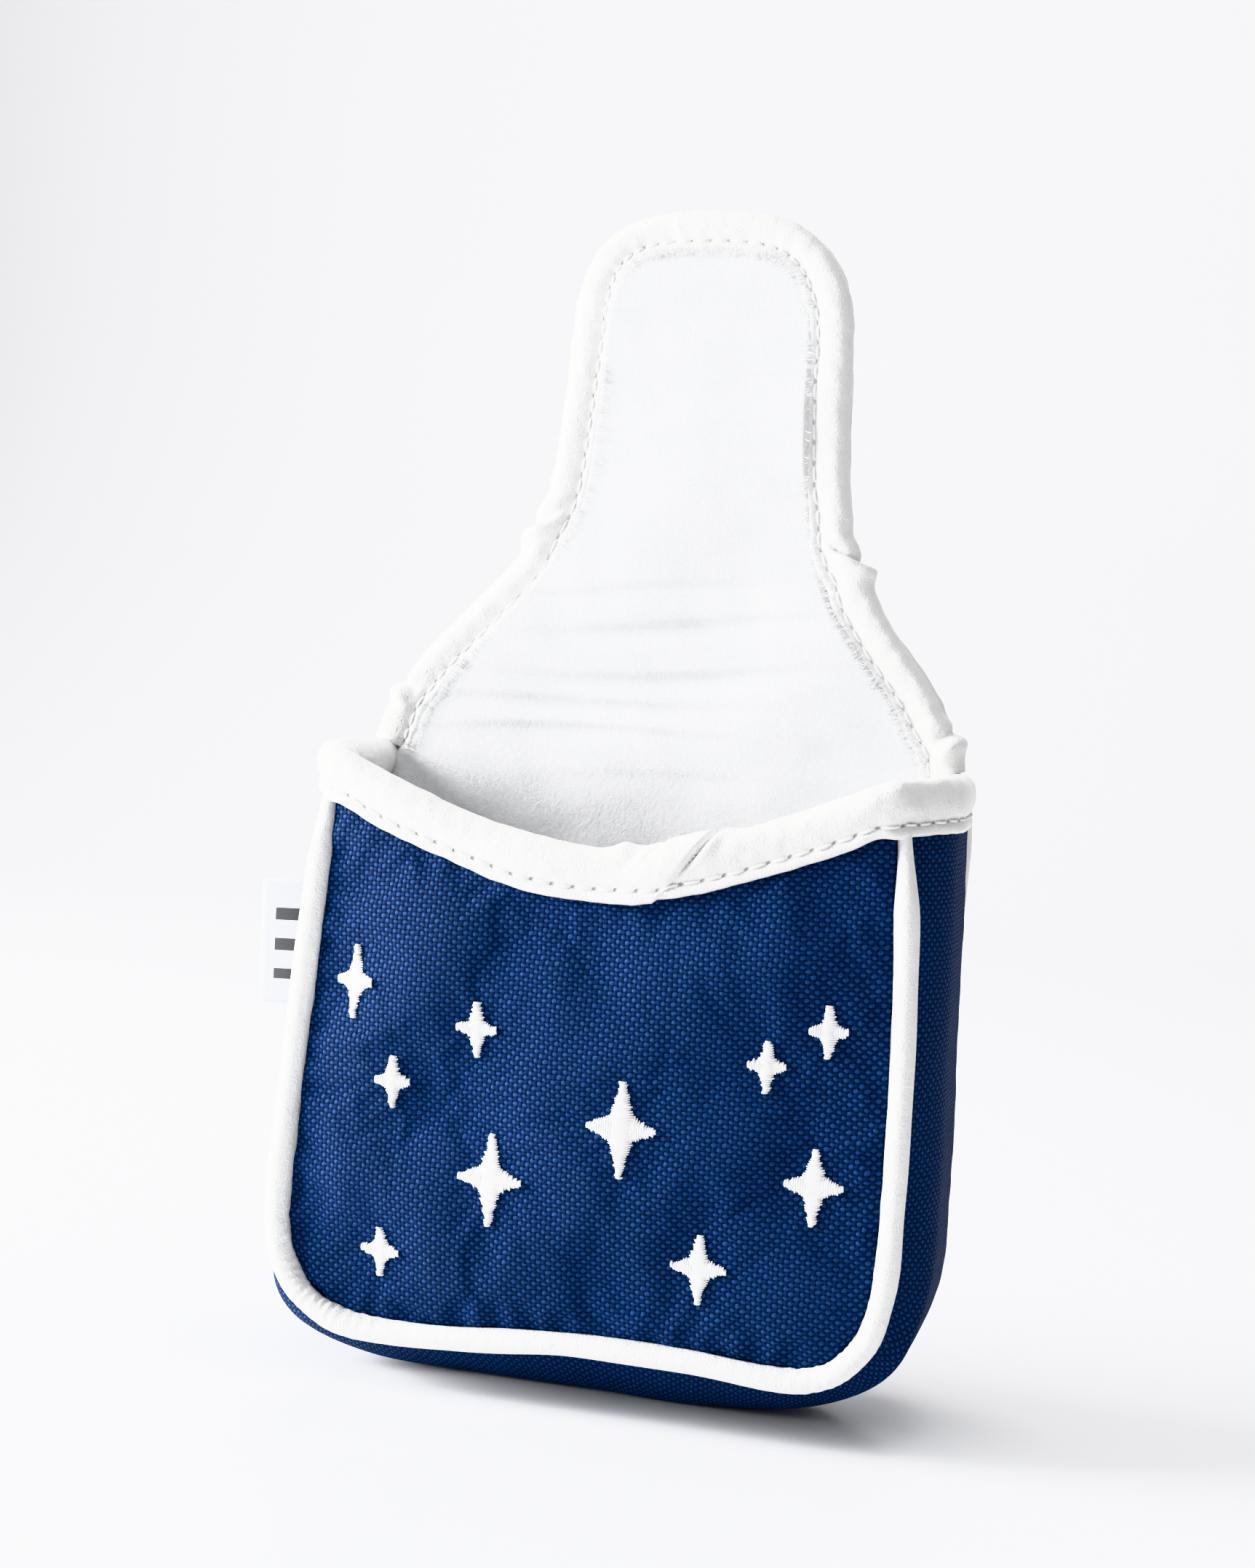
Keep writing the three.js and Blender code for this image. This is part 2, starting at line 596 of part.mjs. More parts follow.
// Flap bindings: over the edge of the base on each side, and all round the tongue
function flapStation(t) {
  const edge = insetPoint(flapEdge, t, BINDING_TOP);
  const tangent = flapEdge.getTangent(t);
  return {
    at: new THREE.Vector3(edge.x, WALL, edge.y),
    across: new THREE.Vector3(0, 1, 0),
    down: new THREE.Vector3(-tangent.y, 0, tangent.x),
  };
}

function flapStations(from, to, steps) {
  const stations = [];
  for (let i = 0; i <= steps; i++) stations.push(flapStation(THREE.MathUtils.lerp(from, to, i / steps)));
  return stations;
}

// A whole binding trimmed to the band of heights between two folds.
function trimmed(geometry, low, high) {
  const size = 400;
  const lowCut = new THREE.BoxGeometry(size, size, size).translate(0, 0, low - size / 2);
  const highCut = new THREE.BoxGeometry(size, size, size).translate(0, 0, high + size / 2);
  return cutAway(cutAway(geometry, lowCut), highCut);
}

const foldCut = foldInset(WALL + BINDING_TOP);
const flapTop = FLAP_EDGE[FLAP_EDGE.length - 1][1] + 10;
const overrun = 12; // how far past the tip fold each strip is made before it is trimmed
const tipShare = edgeShareAt(TIP_FOLD_H + overrun);
for (const [side, from, to] of [["right", 0, tipShare], ["left", 1 - tipShare, 1]]) {
  const strip = sweep(bindingSection, flapStations(from, to, 9));
  const name = "flap_base_binding_" + side;
  addMesh(flap, name, trimmed(strip, foldCut, TIP_FOLD_H - foldCut), finishes.leather);
}
const belowFold = edgeShareAt(TIP_FOLD_H - overrun);
const tongueStrip = sweep(bindingSection, flapStations(belowFold, 1 - belowFold, 30));
const tongueBinding = trimmed(tongueStrip, TIP_FOLD_H + foldCut, flapTop);
addMesh(flap, "flap_tongue_binding", tongueBinding, finishes.leather);

const headCover = new THREE.Group();
headCover.add(pouch, flap);

export default headCover;
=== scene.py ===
import math

import bpy
import numpy as np
from mathutils import Matrix, Vector
from mathutils.bvhtree import BVHTree


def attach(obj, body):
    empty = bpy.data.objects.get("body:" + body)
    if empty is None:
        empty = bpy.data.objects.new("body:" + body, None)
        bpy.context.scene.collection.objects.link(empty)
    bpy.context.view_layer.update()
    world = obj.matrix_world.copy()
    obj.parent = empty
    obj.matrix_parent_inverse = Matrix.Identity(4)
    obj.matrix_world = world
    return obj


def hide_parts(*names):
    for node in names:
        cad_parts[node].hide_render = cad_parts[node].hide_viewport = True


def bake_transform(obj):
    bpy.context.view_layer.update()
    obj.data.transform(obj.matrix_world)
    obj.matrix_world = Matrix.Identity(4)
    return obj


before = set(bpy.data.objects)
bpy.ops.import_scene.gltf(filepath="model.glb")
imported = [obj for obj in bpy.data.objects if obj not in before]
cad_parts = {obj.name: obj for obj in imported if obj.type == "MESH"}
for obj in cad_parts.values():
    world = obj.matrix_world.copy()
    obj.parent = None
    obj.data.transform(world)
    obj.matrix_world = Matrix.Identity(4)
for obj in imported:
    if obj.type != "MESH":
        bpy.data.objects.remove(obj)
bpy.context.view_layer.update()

# Shapes are laid out in millimetres, in the frame of the CAD model, and scaled to metres in make_mesh.
MM = 0.001

# Pouch, with the same driving values as the CAD model
PIPING_RADIUS = 2.5
FRONT_Y = -20.0
BACK_Y = 20.0
GUSSET_EDGE = 17.2
CROWN = 5.0
CROWN_HEIGHT = 62.0
CROWN_FALL_BELOW = 48.5
CROWN_FALL_ABOVE = 116.0
CROWN_HALF_WIDTH = 60.0
# The gusset has its whole bulge between these depths; in the lower corners it starts further forward
FULL_FRONT = -1.5
FULL_CORNER = -11.0
FULL_REAR = 12.9
MOUTH_LOW = 103.9
MOUTH_RISE = 16.0
MOUTH_REACH = 54.0
MOUTH_POWER = 1.6
SIDE_TOP = 120.2
# The right halves of the pouch's outlines at (x, z), from the middle of the base up
FRONT_SEAM = [
    (0, 13.5), (22, 13.5), (43, 13.5), (54.3, 18.2), (59, 29.5), (59.4, 48), (58.3, 75), (56.5, 98),
    (54.2, 118.7),
]
WIDEST_LINE = [
    (0, 0), (20, 0), (42, 3.2), (56.5, 12.5), (62.6, 27), (63.2, 48), (62.8, 75), (62.6, 98), (62.0, 120.2),
]
BACK_SEAM = [
    (0, 13.5), (22, 13.5), (43, 13.5), (54.3, 18.2), (59, 29.5), (59.2, 48), (59.2, 75), (59.8, 98),
    (60.8, 120.2),
]
CORNER = 3  # the point of each half outline in the middle of its lower corner
# The pouch has slumped: how far each point has moved to the right and up, on the left half (slump)
# and on the right half (lean). The first point of an outline is in its right half.
FRONT_SLUMP = [
    (0, 0), (0, -2.0), (0, -2.4), (-0.3, -1.8), (-0.8, -1.2), (0.3, 0), (1.3, 0), (1.6, 0), (0.8, 0),
]
FRONT_LEAN = [
    (0, 0), (0, 0), (0, -0.5), (-2.0, 0.7), (-2.6, 0.3), (-2.1, 0), (-1.0, 0), (0, 0), (0, 0),
]
WIDE_SLUMP = [
    (0, 0), (0, 0), (-2.2, -1.6), (-5.0, -2.2), (-4.0, -1.6), (-1.2, 0), (0.8, 0), (1.3, 0), (1.5, 0),
]
MOUTH_SLUMP = FRONT_SLUMP[-1][0]  # so the left end of the mouth has moved to the right

# Walls
CANVAS = 0.8
WALL = 5.2

# Flap: x across, h up from the root fold, d back from the face of the lining
ROOT_Z = 122.0
ROOT_Y = BACK_Y - WALL
TILT = math.radians(5)
TIP_FOLD_H = 43.0
FLAP_EDGE = [
    (60.5, 0), (58.6, 5.5), (52.6, 16.5), (42.8, 28.4), (35.6, 38.5), (31, 52), (29.6, 66), (28.9, 83),
    (27.8, 93), (23.8, 102), (15, 108.3), (0, 110),
]
SPLIT_H = 20.0  # where the lower piece of each flap layer hands over to the upper one
TUCK = 0.008  # the lower piece runs on for a little way, this far inside the upper one
TUCK_LENGTH = 1.6
FLAP_TUCK = 2.0  # how far inside the flap's edge its layers end
SHOULDER_H = 98.0  # where the flap's edge turns into its rounded top

STARS = [
    (-45.1, 76.3, 13, 7.5), (-20, 69.9, 9.8, 7), (-36.3, 58.5, 9.4, 6.5), (-16.2, 42.4, 16.6, 11.6),
    (-38, 25.9, 9, 7.2), (8.6, 54.8, 17.2, 12.2), (23.6, 30.8, 12.5, 9.2), (34, 68.3, 8.9, 6.4),
    (44.5, 75.3, 8.7, 6.4), (43.3, 47.7, 13.3, 10),
]

collection = bpy.context.scene.collection


# ---- curves and small functions

def spline(points):
    """The uniform Catmull-Rom curve through points, as a function of a share from 0 to 1."""
    knots = np.array(points, float)

    def at(share):
        place = np.clip(np.asarray(share, float), 0, 1) * (len(knots) - 1)
        i = np.minimum(place.astype(int), len(knots) - 2)
        w = (place - i)[..., None]
        before, a = knots[np.maximum(i - 1, 0)], knots[i]
        b, after = knots[i + 1], knots[np.minimum(i + 2, len(knots) - 1)]
        leave, arrive = (b - before) / 2, (after - a) / 2
        cubic = 2 * a - 2 * b + leave + arrive
        square = 3 * b - 3 * a - 2 * leave - arrive
        return cubic * w**3 + square * w**2 + leave * w + a

    return at


def whole(half, slump=None, lean=None):
    """Both halves of an outline given by its right half; slump and lean move the left and right points."""
    slump = slump or [(0, 0)] * len(half)
    lean = lean or [(0, 0)] * len(half)
    left = [(right - x, z + up) for (x, z), (right, up) in zip(half[:0:-1], slump[:0:-1])]
    return left + [(x + right, z + up) for (x, z), (right, up) in zip(half, lean)]


def graded(rows):
    """Rows with closer ones put in after the first, so that shading carries on where two pieces meet."""
    extra = [rows[:1] + share * (rows[1:2] - rows[:1]) for share in (0.03, 0.12, 0.35)]
    return np.concatenate([rows[:1], *extra, rows[1:]])


def smoothstep(low, high, value):
    t = np.clip((value - low) / (high - low), 0, 1)
    return t * t * (3 - 2 * t)


def bell(value, centre, width):
    return np.exp(-(((value - centre) / width) ** 2))


def waves(seed, wavelength, count=14):
    """A smooth random field of two coordinates, about -1 to 1, whose ripples are near one wavelength."""
    rng = np.random.RandomState(seed)
    angle = rng.uniform(0, 2 * math.pi, count)
    size = 2 * math.pi / (wavelength * rng.uniform(0.75, 1.5, count))
    phase = rng.uniform(0, 2 * math.pi, count)
    scale = 1.6 / math.sqrt(count)

    def at(a, b):
        a, b = np.asarray(a, float)[..., None], np.asarray(b, float)[..., None]
        return scale * np.sin(size * (a * np.cos(angle) + b * np.sin(angle)) + phase).sum(-1)

    return at


def unit(vectors):
    return vectors / np.maximum(np.linalg.norm(vectors, axis=-1, keepdims=True), 1e-9)


def normals_of(grid):
    return unit(np.cross(np.gradient(grid, axis=0), np.gradient(grid, axis=1)))


def left_of(directions):
    """Plane directions turned a quarter to the left."""
    return np.stack([-directions[:, 1], directions[:, 0]], 1)


def heading(curve, shares):
    """The direction of a plane curve at each share."""
    step = 1e-4
    return unit(curve(np.minimum(shares + step, 1)) - curve(np.maximum(shares - step, 0)))


def lengths_of(line):
    return np.concatenate([[0], np.cumsum(np.linalg.norm(np.diff(line, axis=0), axis=1))])


def resample(rows, count, coordinates=None):
    """count rows evenly spaced along a dense polyline, whose coordinates come first in each row."""
    lengths = lengths_of(rows[:, :coordinates])
    wanted = np.linspace(0, lengths[-1], count)
    return np.stack([np.interp(wanted, lengths, column) for column in rows.T], 1)


def distance_to(line, x, z):
    """Distance in the plane from each (x, z) to the nearest point of a dense polyline."""
    nearest = np.full(np.shape(x), np.inf)
    for px, pz in line:
        nearest = np.minimum(nearest, (x - px) ** 2 + (z - pz) ** 2)
    return np.sqrt(nearest)


def coons(bottom, top, left, right):
    """A grid of points between four edges: bottom and top run left to right, left and right run upwards."""
    u = np.linspace(0, 1, len(bottom))[None, :, None]
    v = np.linspace(0, 1, len(left))[:, None, None]
    ruled = (1 - v) * bottom[None] + v * top[None] + (1 - u) * left[:, None] + u * right[:, None]
    low = (1 - u) * (1 - v) * bottom[0] + u * (1 - v) * bottom[-1]
    high = (1 - u) * v * top[0] + u * v * top[-1]
    return ruled - (low + high)


# ---- meshes

def make_mesh(name, points, faces, material, cloth=None):
    """An object from points in millimetres; cloth is each point's place on the flat cloth."""
    mesh = bpy.data.meshes.new(name)
    mesh.from_pydata((np.asarray(points, float).reshape(-1, 3) * MM).tolist(), [], faces)
    mesh.materials.append(material)
    for polygon in mesh.polygons:
        polygon.use_smooth = True
    if cloth is not None:
        attribute = mesh.attributes.new("cloth", "FLOAT_VECTOR", "POINT")
        attribute.data.foreach_set("vector", np.asarray(cloth, np.float32).reshape(-1))
    piece = bpy.data.objects.new(name, mesh)
    collection.objects.link(piece)
    return piece


def quads(rows, columns, start=0, wrap=False, flip=False):
    """Faces of a grid whose points are stored row by row from start."""
    faces = []
    for i in range(rows - 1):
        for j in range(columns if wrap else columns - 1):
            k = (j + 1) % columns
            face = [start + i * columns + j, start + (i + 1) * columns + j,
                    start + (i + 1) * columns + k, start + i * columns + k]
            faces.append(face[::-1] if flip else face)
    return faces


def make_shell(name, outer, inner, material, cloth=None):
    """A closed sheet between two grids of the same size, outer being the face that is seen."""
    rows, columns = outer.shape[:2]
    count = rows * columns
    faces = quads(rows, columns) + quads(rows, columns, count, flip=True)
    rim = [(0, j) for j in range(columns)] + [(i, columns - 1) for i in range(1, rows)]
    rim += [(rows - 1, j) for j in range(columns - 2, -1, -1)] + [(i, 0) for i in range(rows - 2, 0, -1)]
    ring = [i * columns + j for i, j in rim]
    for a, b in zip(ring, ring[1:] + ring[:1]):
        faces.append([a, b, count + b, count + a])
    points = np.concatenate([outer.reshape(-1, 3), inner.reshape(-1, 3)])
    where = None if cloth is None else np.concatenate([cloth.reshape(-1, 3)] * 2)
    piece = make_mesh(name, points, faces, material, where)
    for polygon in piece.data.polygons[-len(ring):]:
        polygon.use_smooth = False
    return face_outwards(piece)


def tube_faces(rows, columns, start=0, flip=False):
    """Faces of a tube through rows rings of points, closed at both ends."""
    first = list(range(start, start + columns))
    last = [k + (rows - 1) * columns for k in first][::-1]
    return quads(rows, columns, start, wrap=True, flip=flip) + [first, last]


def make_tube(name, rings, material, cloth=None):
    """A closed tube through rings of points, rows along it and columns round it."""
    rows, columns = rings.shape[:2]
    piece = make_mesh(name, rings, tube_faces(rows, columns), material, cloth)
    for polygon in piece.data.polygons[(rows - 1) * columns:]:
        polygon.use_smooth = False
    return face_outwards(piece)


def face_outwards(piece):
    """Turns a closed piece's faces outwards if its volume says that they point in."""
    mesh = piece.data
    mesh.calc_loop_triangles()
    points = np.array([v.co for v in mesh.vertices])
    a, b, c = (points[[t.vertices[k] for t in mesh.loop_triangles]] for k in range(3))
    if np.einsum("ij,ij->", a, np.cross(b, c)) < 0:
        mesh.flip_normals()
    return piece


# ---- materials

class Value:
    """A node's output; arithmetic on it makes the math nodes."""

    def __init__(self, nodes, socket):
        self.nodes, self.socket = nodes, socket

    def to(self, operation, *others):
        return self.nodes.math(operation, self, *others)

    def __add__(self, other):
        return self.to("ADD", other)

    def __sub__(self, other):
        return self.to("SUBTRACT", other)

    def __rsub__(self, other):
        return self.nodes.math("SUBTRACT", other, self)

    def __mul__(self, other):
        return self.to("MULTIPLY", other)

    def __truediv__(self, other):
        return self.to("DIVIDE", other)


class Nodes:
    """Short names for the nodes that the materials here are made of."""

    def __init__(self, name):
        self.material = bpy.data.materials.new(name)
        self.material.use_nodes = True
        self.tree = self.material.node_tree
        self.shader = self.tree.nodes["Principled BSDF"]

    def make(self, kind, inputs, output=0, **settings):
        """An output of a new node, whose inputs are given by name or number."""
        node = self.tree.nodes.new(kind)
        for key, value in settings.items():
            setattr(node, key, value)
        for key, value in inputs.items():
            self.plug(node.inputs[key], value)
        return Value(self, node.outputs[output])

    def plug(self, socket, value):
        if isinstance(value, Value):
            self.tree.links.new(value.socket, socket)
        elif isinstance(value, tuple) and len(value) < len(socket.default_value):
            socket.default_value = (*value, 1)
        else:
            socket.default_value = value

    def math(self, operation, *values):
        return self.make("ShaderNodeMath", dict(enumerate((*values, 0.0, 0.0)[:3])), operation=operation)

    def mix(self, share, a, b):
        return self.make("ShaderNodeMix", {0: share, 6: a, 7: b}, 2, data_type="RGBA")

    def noise(self, where, scale, detail=2.0, roughness=0.5):
        settings = {"Vector": where, "Scale": scale, "Detail": detail, "Roughness": roughness}
        return self.make("ShaderNodeTexNoise", settings, "Fac")

    def cells(self, where, scale):
        return self.make("ShaderNodeTexVoronoi", {"Vector": where, "Scale": scale}, "Distance")

    def ramp(self, value, low, high):
        return self.make("ShaderNodeMapRange", {0: value, 1: low, 2: high, 3: 0.0, 4: 1.0})

    def bump(self, height, distance, strength=1.0, below=None):
        inputs = {"Distance": distance, "Strength": strength, "Height": height}
        if below is not None:
            inputs["Normal"] = below
        return self.make("ShaderNodeBump", inputs)

    def place(self):
        """The place on the object at rest, in metres."""
        return self.make("ShaderNodeTexCoord", {}, "Object")

    def cloth(self):
        """The place on the flat cloth in millimetres: as one vector, across and up."""
        cloth = self.make("ShaderNodeAttribute", {}, "Vector", attribute_name="cloth")
        apart = self.make("ShaderNodeSeparateXYZ", {0: cloth}).socket.node.outputs
        return cloth, Value(self, apart[0]), Value(self, apart[1])

    def finish(self, color, normal=None, **fixed):
        self.plug(self.shader.inputs["Base Color"], color)
        if normal is not None:
            self.plug(self.shader.inputs["Normal"], normal)
        for key, value in fixed.items():
            self.shader.inputs[key.replace("_", " ")].default_value = value
        return self.material


YARN_ACROSS = 0.93  # pitch of the upright yarns, mm
YARN_UP = 0.84  # pitch of the level yarns, mm
STITCH_PITCH = 4.0


def canvas_material():
    """Plain weave: level yarns carry a painted highlight as bright ovals at every other crossing, over
    darker upright yarns, and the low gaps between the yarns carry painted shade.
    """
    n = Nodes("canvas")
    cloth, x, z = n.cloth()
    wander = (n.noise(cloth, 0.3) - 0.5) * 0.9
    uneven = (n.noise(cloth, 1.1, 3.0) - 0.5) * 0.2
    across = (x + (wander + uneven)) / YARN_ACROSS
    up = (z + (wander - uneven)) / YARN_UP
    column, row = across.to("FLOOR"), up.to("FLOOR")
    level_over = (column + row).to("PINGPONG", 1.0)
    upright_over = 1.0 - level_over
    in_column = across - column - 0.5
    in_row = up - row - 0.5

    def yarn(along, beside, length, width):
        far, side = along * length, beside * width
        return (1.0 - (far * far + side * side)).to("MAXIMUM", 0.0).to("SQRT")

    def strands(stretch):
        """Fine fibres that run along a yarn."""
        drawn = n.make("ShaderNodeVectorMath", {0: cloth, 1: stretch}, operation="MULTIPLY")
        return n.noise(drawn, 6.0, 3.0, 0.65)

    level = yarn(in_column, in_row, 1.7, 2.0) * level_over
    upright = yarn(in_row, in_column, 1.9, 2.0) * upright_over
    height = level + upright * 0.6
    level_strands, upright_strands = strands((0.45, 1.4, 1.0)), strands((1.4, 0.45, 1.0))
    tone = n.noise(cloth, 0.05, 3.0) * 0.4 + upright_strands * 0.6
    dim = n.mix(n.ramp(tone, 0.35, 0.65), (0.0035, 0.0105, 0.045), (0.0092, 0.0290, 0.122))
    # Painted highlight: the level yarns' colour is several times brighter than the upright yarns', with
    # brighter glints along their fibres, as light on their crowns.
    painted_highlight = n.mix(n.ramp(level_strands, 0.33, 0.67), (0.0095, 0.030, 0.122), (0.0500, 0.125, 0.35))
    color = n.mix(n.ramp(level, 0.1, 0.75), dim, painted_highlight)
    # Painted shade: where the weave is low, between the yarns, the colour goes to near black.
    color = n.mix(n.ramp(height, 0.0, 0.35), (0.0012, 0.0035, 0.015), color)
    relief = height + level_strands * 0.55
    return n.finish(color, n.bump(relief, 0.001), Roughness=0.68, Specular_IOR_Level=0.2,
                    Specular_Tint=(0.32, 0.55, 1.0, 1.0))


def leather_material(name, stitch_shade):
    """Fine-grained white leather, with painted shade of the given darkness in its needle holes and along its
    stitching's groove.

    On a binding, cloth holds the length along it and the distance from its stitching."""
    n = Nodes(name)
    place = n.place()
    soft = n.noise(place, 420, 3.0)
    grain = n.cells(place, 2400) * 0.9 + n.noise(place, 5200, 2.0) * 0.4
    normal = n.bump(soft, 0.0007, 0.45, n.bump(grain, 0.00011, 0.9))
    color = n.mix(soft, (0.75, 0.748, 0.738), (0.82, 0.818, 0.808))
    if stitch_shade:
        _, along, beside = n.cloth()
        beat = along.to("PINGPONG", STITCH_PITCH / 2) * 0.6
        far = (beat * beat + beside * beside).to("SQRT")
        hole = 1.0 - n.ramp(far, 0.12, 0.36)
        groove = 1.0 - n.ramp(beside.to("ABSOLUTE"), 0.15, 0.9)
        # Painted shade: the stitching's groove is greyed and the needle holes are darkened, as shade in
        # these hollows.
        color = n.mix(groove * (0.35 * stitch_shade), color, (0.5, 0.49, 0.48))
        color = n.mix(hole * stitch_shade, color, (0.2, 0.195, 0.19))
        normal = n.bump(1.0 - (groove * 0.35 + hole), 0.0004, 0.8, normal)
    return n.finish(color, normal, Roughness=0.42, Coat_Weight=0.12, Coat_Roughness=0.3)


def fleece_material():
    n = Nodes("fleece")
    place = n.place()
    tufts = n.noise(place, 900, 4.0, 0.7)
    height = n.noise(place, 2400, 4.0, 0.75) * 0.6 + tufts
    # Painted shade: the colour is darker where the pile's tufts are low, mixed with a broad random tone.
    pile_shade_and_tone = tufts * 0.6 + n.noise(place, 90, 2.0) * 0.4
    color = n.mix(n.ramp(pile_shade_and_tone, 0.36, 0.6), (0.66, 0.665, 0.68), (0.77, 0.771, 0.778))
    return n.finish(color, n.bump(height, 0.0006, 0.4), Roughness=0.95, Specular_IOR_Level=0.15,
                    Sheen_Weight=0.6, Sheen_Roughness=0.5)


def thread_material():
    n = Nodes("thread")
    twist = n.noise(n.place(), 2600, 3.0)
    color = n.mix(twist, (0.80, 0.80, 0.80), (0.93, 0.93, 0.925))
    relief = n.bump(twist, 0.00006, 0.6)
    return n.finish(color, relief, Roughness=0.4, Sheen_Weight=0.3, Sheen_Roughness=0.3)


def foam_material():
    n = Nodes("foam")
    cells = n.cells(n.place(), 1400)
    color = n.mix(n.ramp(cells, 0.0, 0.5), (0.45, 0.42, 0.36), (0.72, 0.7, 0.64))
    return n.finish(color, n.bump(cells, 0.0003), Roughness=0.9)


def label_material():
    """White woven ribbon with plain black bars."""
    n = Nodes("label")
    cloth, along, up = n.cloth()
    inside = along.to("GREATER_THAN", 9.0) * along.to("LESS_THAN", 22.0)
    bar = (up + 0.5).to("PINGPONG", 3.2).to("LESS_THAN", 1.3)
    band = up.to("GREATER_THAN", 5.0) * up.to("LESS_THAN", 21.0)
    weave = (up * (2 * math.pi / 0.32)).to("SINE") * (along * (2 * math.pi / 0.4)).to("SINE")
    white = n.mix(n.noise(cloth, 3.0), (0.84, 0.85, 0.88), (0.92, 0.925, 0.94))
    color = n.mix(inside * bar * band, white, (0.012, 0.012, 0.014))
    return n.finish(color, n.bump(weave, 0.00005, 0.6), Roughness=0.55, Sheen_Weight=0.2)


def metal_material():
    n = Nodes("magnet_metal")
    brushed = n.noise(n.place(), 900, 4.0)
    color = n.mix(brushed, (0.55, 0.56, 0.57), (0.7, 0.71, 0.72))
    return n.finish(color, n.bump(brushed, 0.00002, 0.5), Roughness=0.28, Metallic=1.0)


canvas = canvas_material()
leather = leather_material("leather", stitch_shade=0)
mouth_leather = leather_material("mouth_leather", stitch_shade=0.75)
flap_leather = leather_material("flap_leather", stitch_shade=0.12)
fleece = fleece_material()
thread = thread_material()
foam = foam_material()
label = label_material()


# ---- surfaces of the pouch

front_seam = spline(whole(FRONT_SEAM, FRONT_SLUMP, FRONT_LEAN))
widest_line = spline(whole(WIDEST_LINE, WIDE_SLUMP))
back_seam = spline(whole(BACK_SEAM))
LAST = len(FRONT_SEAM) - 1
CORNER_SHARE = (LAST - CORNER) / (2 * LAST)  # share of the whole U at its left lower corner


def mouth_edge(x):
    return MOUTH_LOW + MOUTH_RISE * (np.abs(x) / MOUTH_REACH) ** MOUTH_POWER


def inset_line(curve, shares, inset):
    """Points of a plane curve moved to its left."""
    return curve(shares) + inset * left_of(heading(curve, shares))


def front_face(x, z):
    fall = np.where(z < CROWN_HEIGHT, CROWN_FALL_BELOW, CROWN_FALL_ABOVE)
    across = np.maximum(0, 1 - (x / CROWN_HALF_WIDTH) ** 2)
    up = np.maximum(0, 1 - ((z - CROWN_HEIGHT) / fall) ** 2)
    return FRONT_Y - CROWN * across * up


def gusset_face(share, y):
    """Outer face of the gusset for arrays of the share of the U and of depth."""
    edge = np.where(y < 0, -GUSSET_EDGE, GUSSET_EDGE)
    in_corner = bell(share, CORNER_SHARE, 0.07) + bell(1 - share, CORNER_SHARE - 0.02, 0.055)
    flat = np.where(y < 0, FULL_FRONT + (FULL_CORNER - FULL_FRONT) * in_corner, FULL_REAR)
    round_ = np.clip((y - flat) / (edge - flat), 0, 1)
    bulge = np.cos(round_ * math.pi / 2)[..., None]
    back = np.clip((y + GUSSET_EDGE) / (2 * GUSSET_EDGE), 0, 1)[..., None]
    seam = front_seam(share) * (1 - back) + back_seam(share) * back
    line = seam * (1 - bulge) + widest_line(share) * bulge
    return np.stack([line[..., 0], np.broadcast_to(y, line.shape[:-1]), np.maximum(0, line[..., 1])], -1)


panel_swell = waves(3, 46)
panel_ripple = waves(4, 17)
seam_pucker = waves(5, 6.5)
seam_line = inset_line(front_seam, np.linspace(0, 1, 500), 0)
SEAM_TUCK = 1.5  # how far inside the piping's centre line a panel ends
UNDER_BINDING = 8.5  # how far the mouth's binding reaches down the canvas
LEFT_SWELL = {"stand": 1.1, "x": -41, "width": 13, "z": 62, "height": 34}


def front_relief(x, z):
    """How far the canvas stands out from the plain crowned face, in millimetres."""
    to_seam = distance_to(seam_line, x, z)
    to_mouth = mouth_edge(x) - UNDER_BINDING - z
    open_cloth = smoothstep(2, 16, to_seam) * smoothstep(-2, 12, to_mouth)
    relief = 0.55 * panel_swell(x, z) * open_cloth + 0.12 * panel_ripple(x, z) * open_cloth
    left = bell(x, LEFT_SWELL["x"], LEFT_SWELL["width"]) * bell(z, LEFT_SWELL["z"], LEFT_SWELL["height"])
    relief += LEFT_SWELL["stand"] * left * open_cloth
    near_seam = bell(to_seam, 4.5, 4) + 0.8 * bell(to_mouth, 1.5, 4)
    relief += 0.16 * seam_pucker(x, z) * near_seam
    # Sewn down into the seam and under the binding
    relief -= 1.6 * np.exp(-np.maximum(to_seam - SEAM_TUCK, 0) / 1.3)
    relief -= 0.6 * smoothstep(1.5, -1.5, to_mouth)
    # Drawn in by the stars' stitching, in eight small folds round each
    for sx, sz, tall, wide in STARS:
        reach = np.sqrt(((x - sx) / (0.62 * wide)) ** 2 + ((z - sz) / (0.62 * tall)) ** 2)
        relief -= 0.4 * np.exp(-(reach**2)) * (1 + 0.25 * np.cos(8 * np.arctan2(z - sz, x - sx)))
    return relief


def panel_grid(seam, inset, top_line, columns, rows):
    """Places (x, z) on a panel between the U of its seam and the line of its top edge."""
    around = inset_line(seam, np.linspace(0, 1, 1601), inset)
    low = int(round(1600 * CORNER_SHARE))
    bottom = resample(around[low:1601 - low], columns)
    left = resample(around[: low + 1][::-1], rows)
    right = resample(around[1600 - low:], rows)
    top = resample(top_line(left[-1], right[-1]), columns)
    left[-1], right[-1] = top[0], top[-1]
    return coons(bottom, top, left, right)


def mouth_line(start, end):
    x = np.linspace(start[0], end[0], 200)
    return np.stack([x, mouth_edge(x) - 1.5], 1)


def in_space(x, y, z):
    return np.stack([x, y, z], -1)


def wall_depth(openness, bound, open_):
    return bound + (open_ - bound) * openness


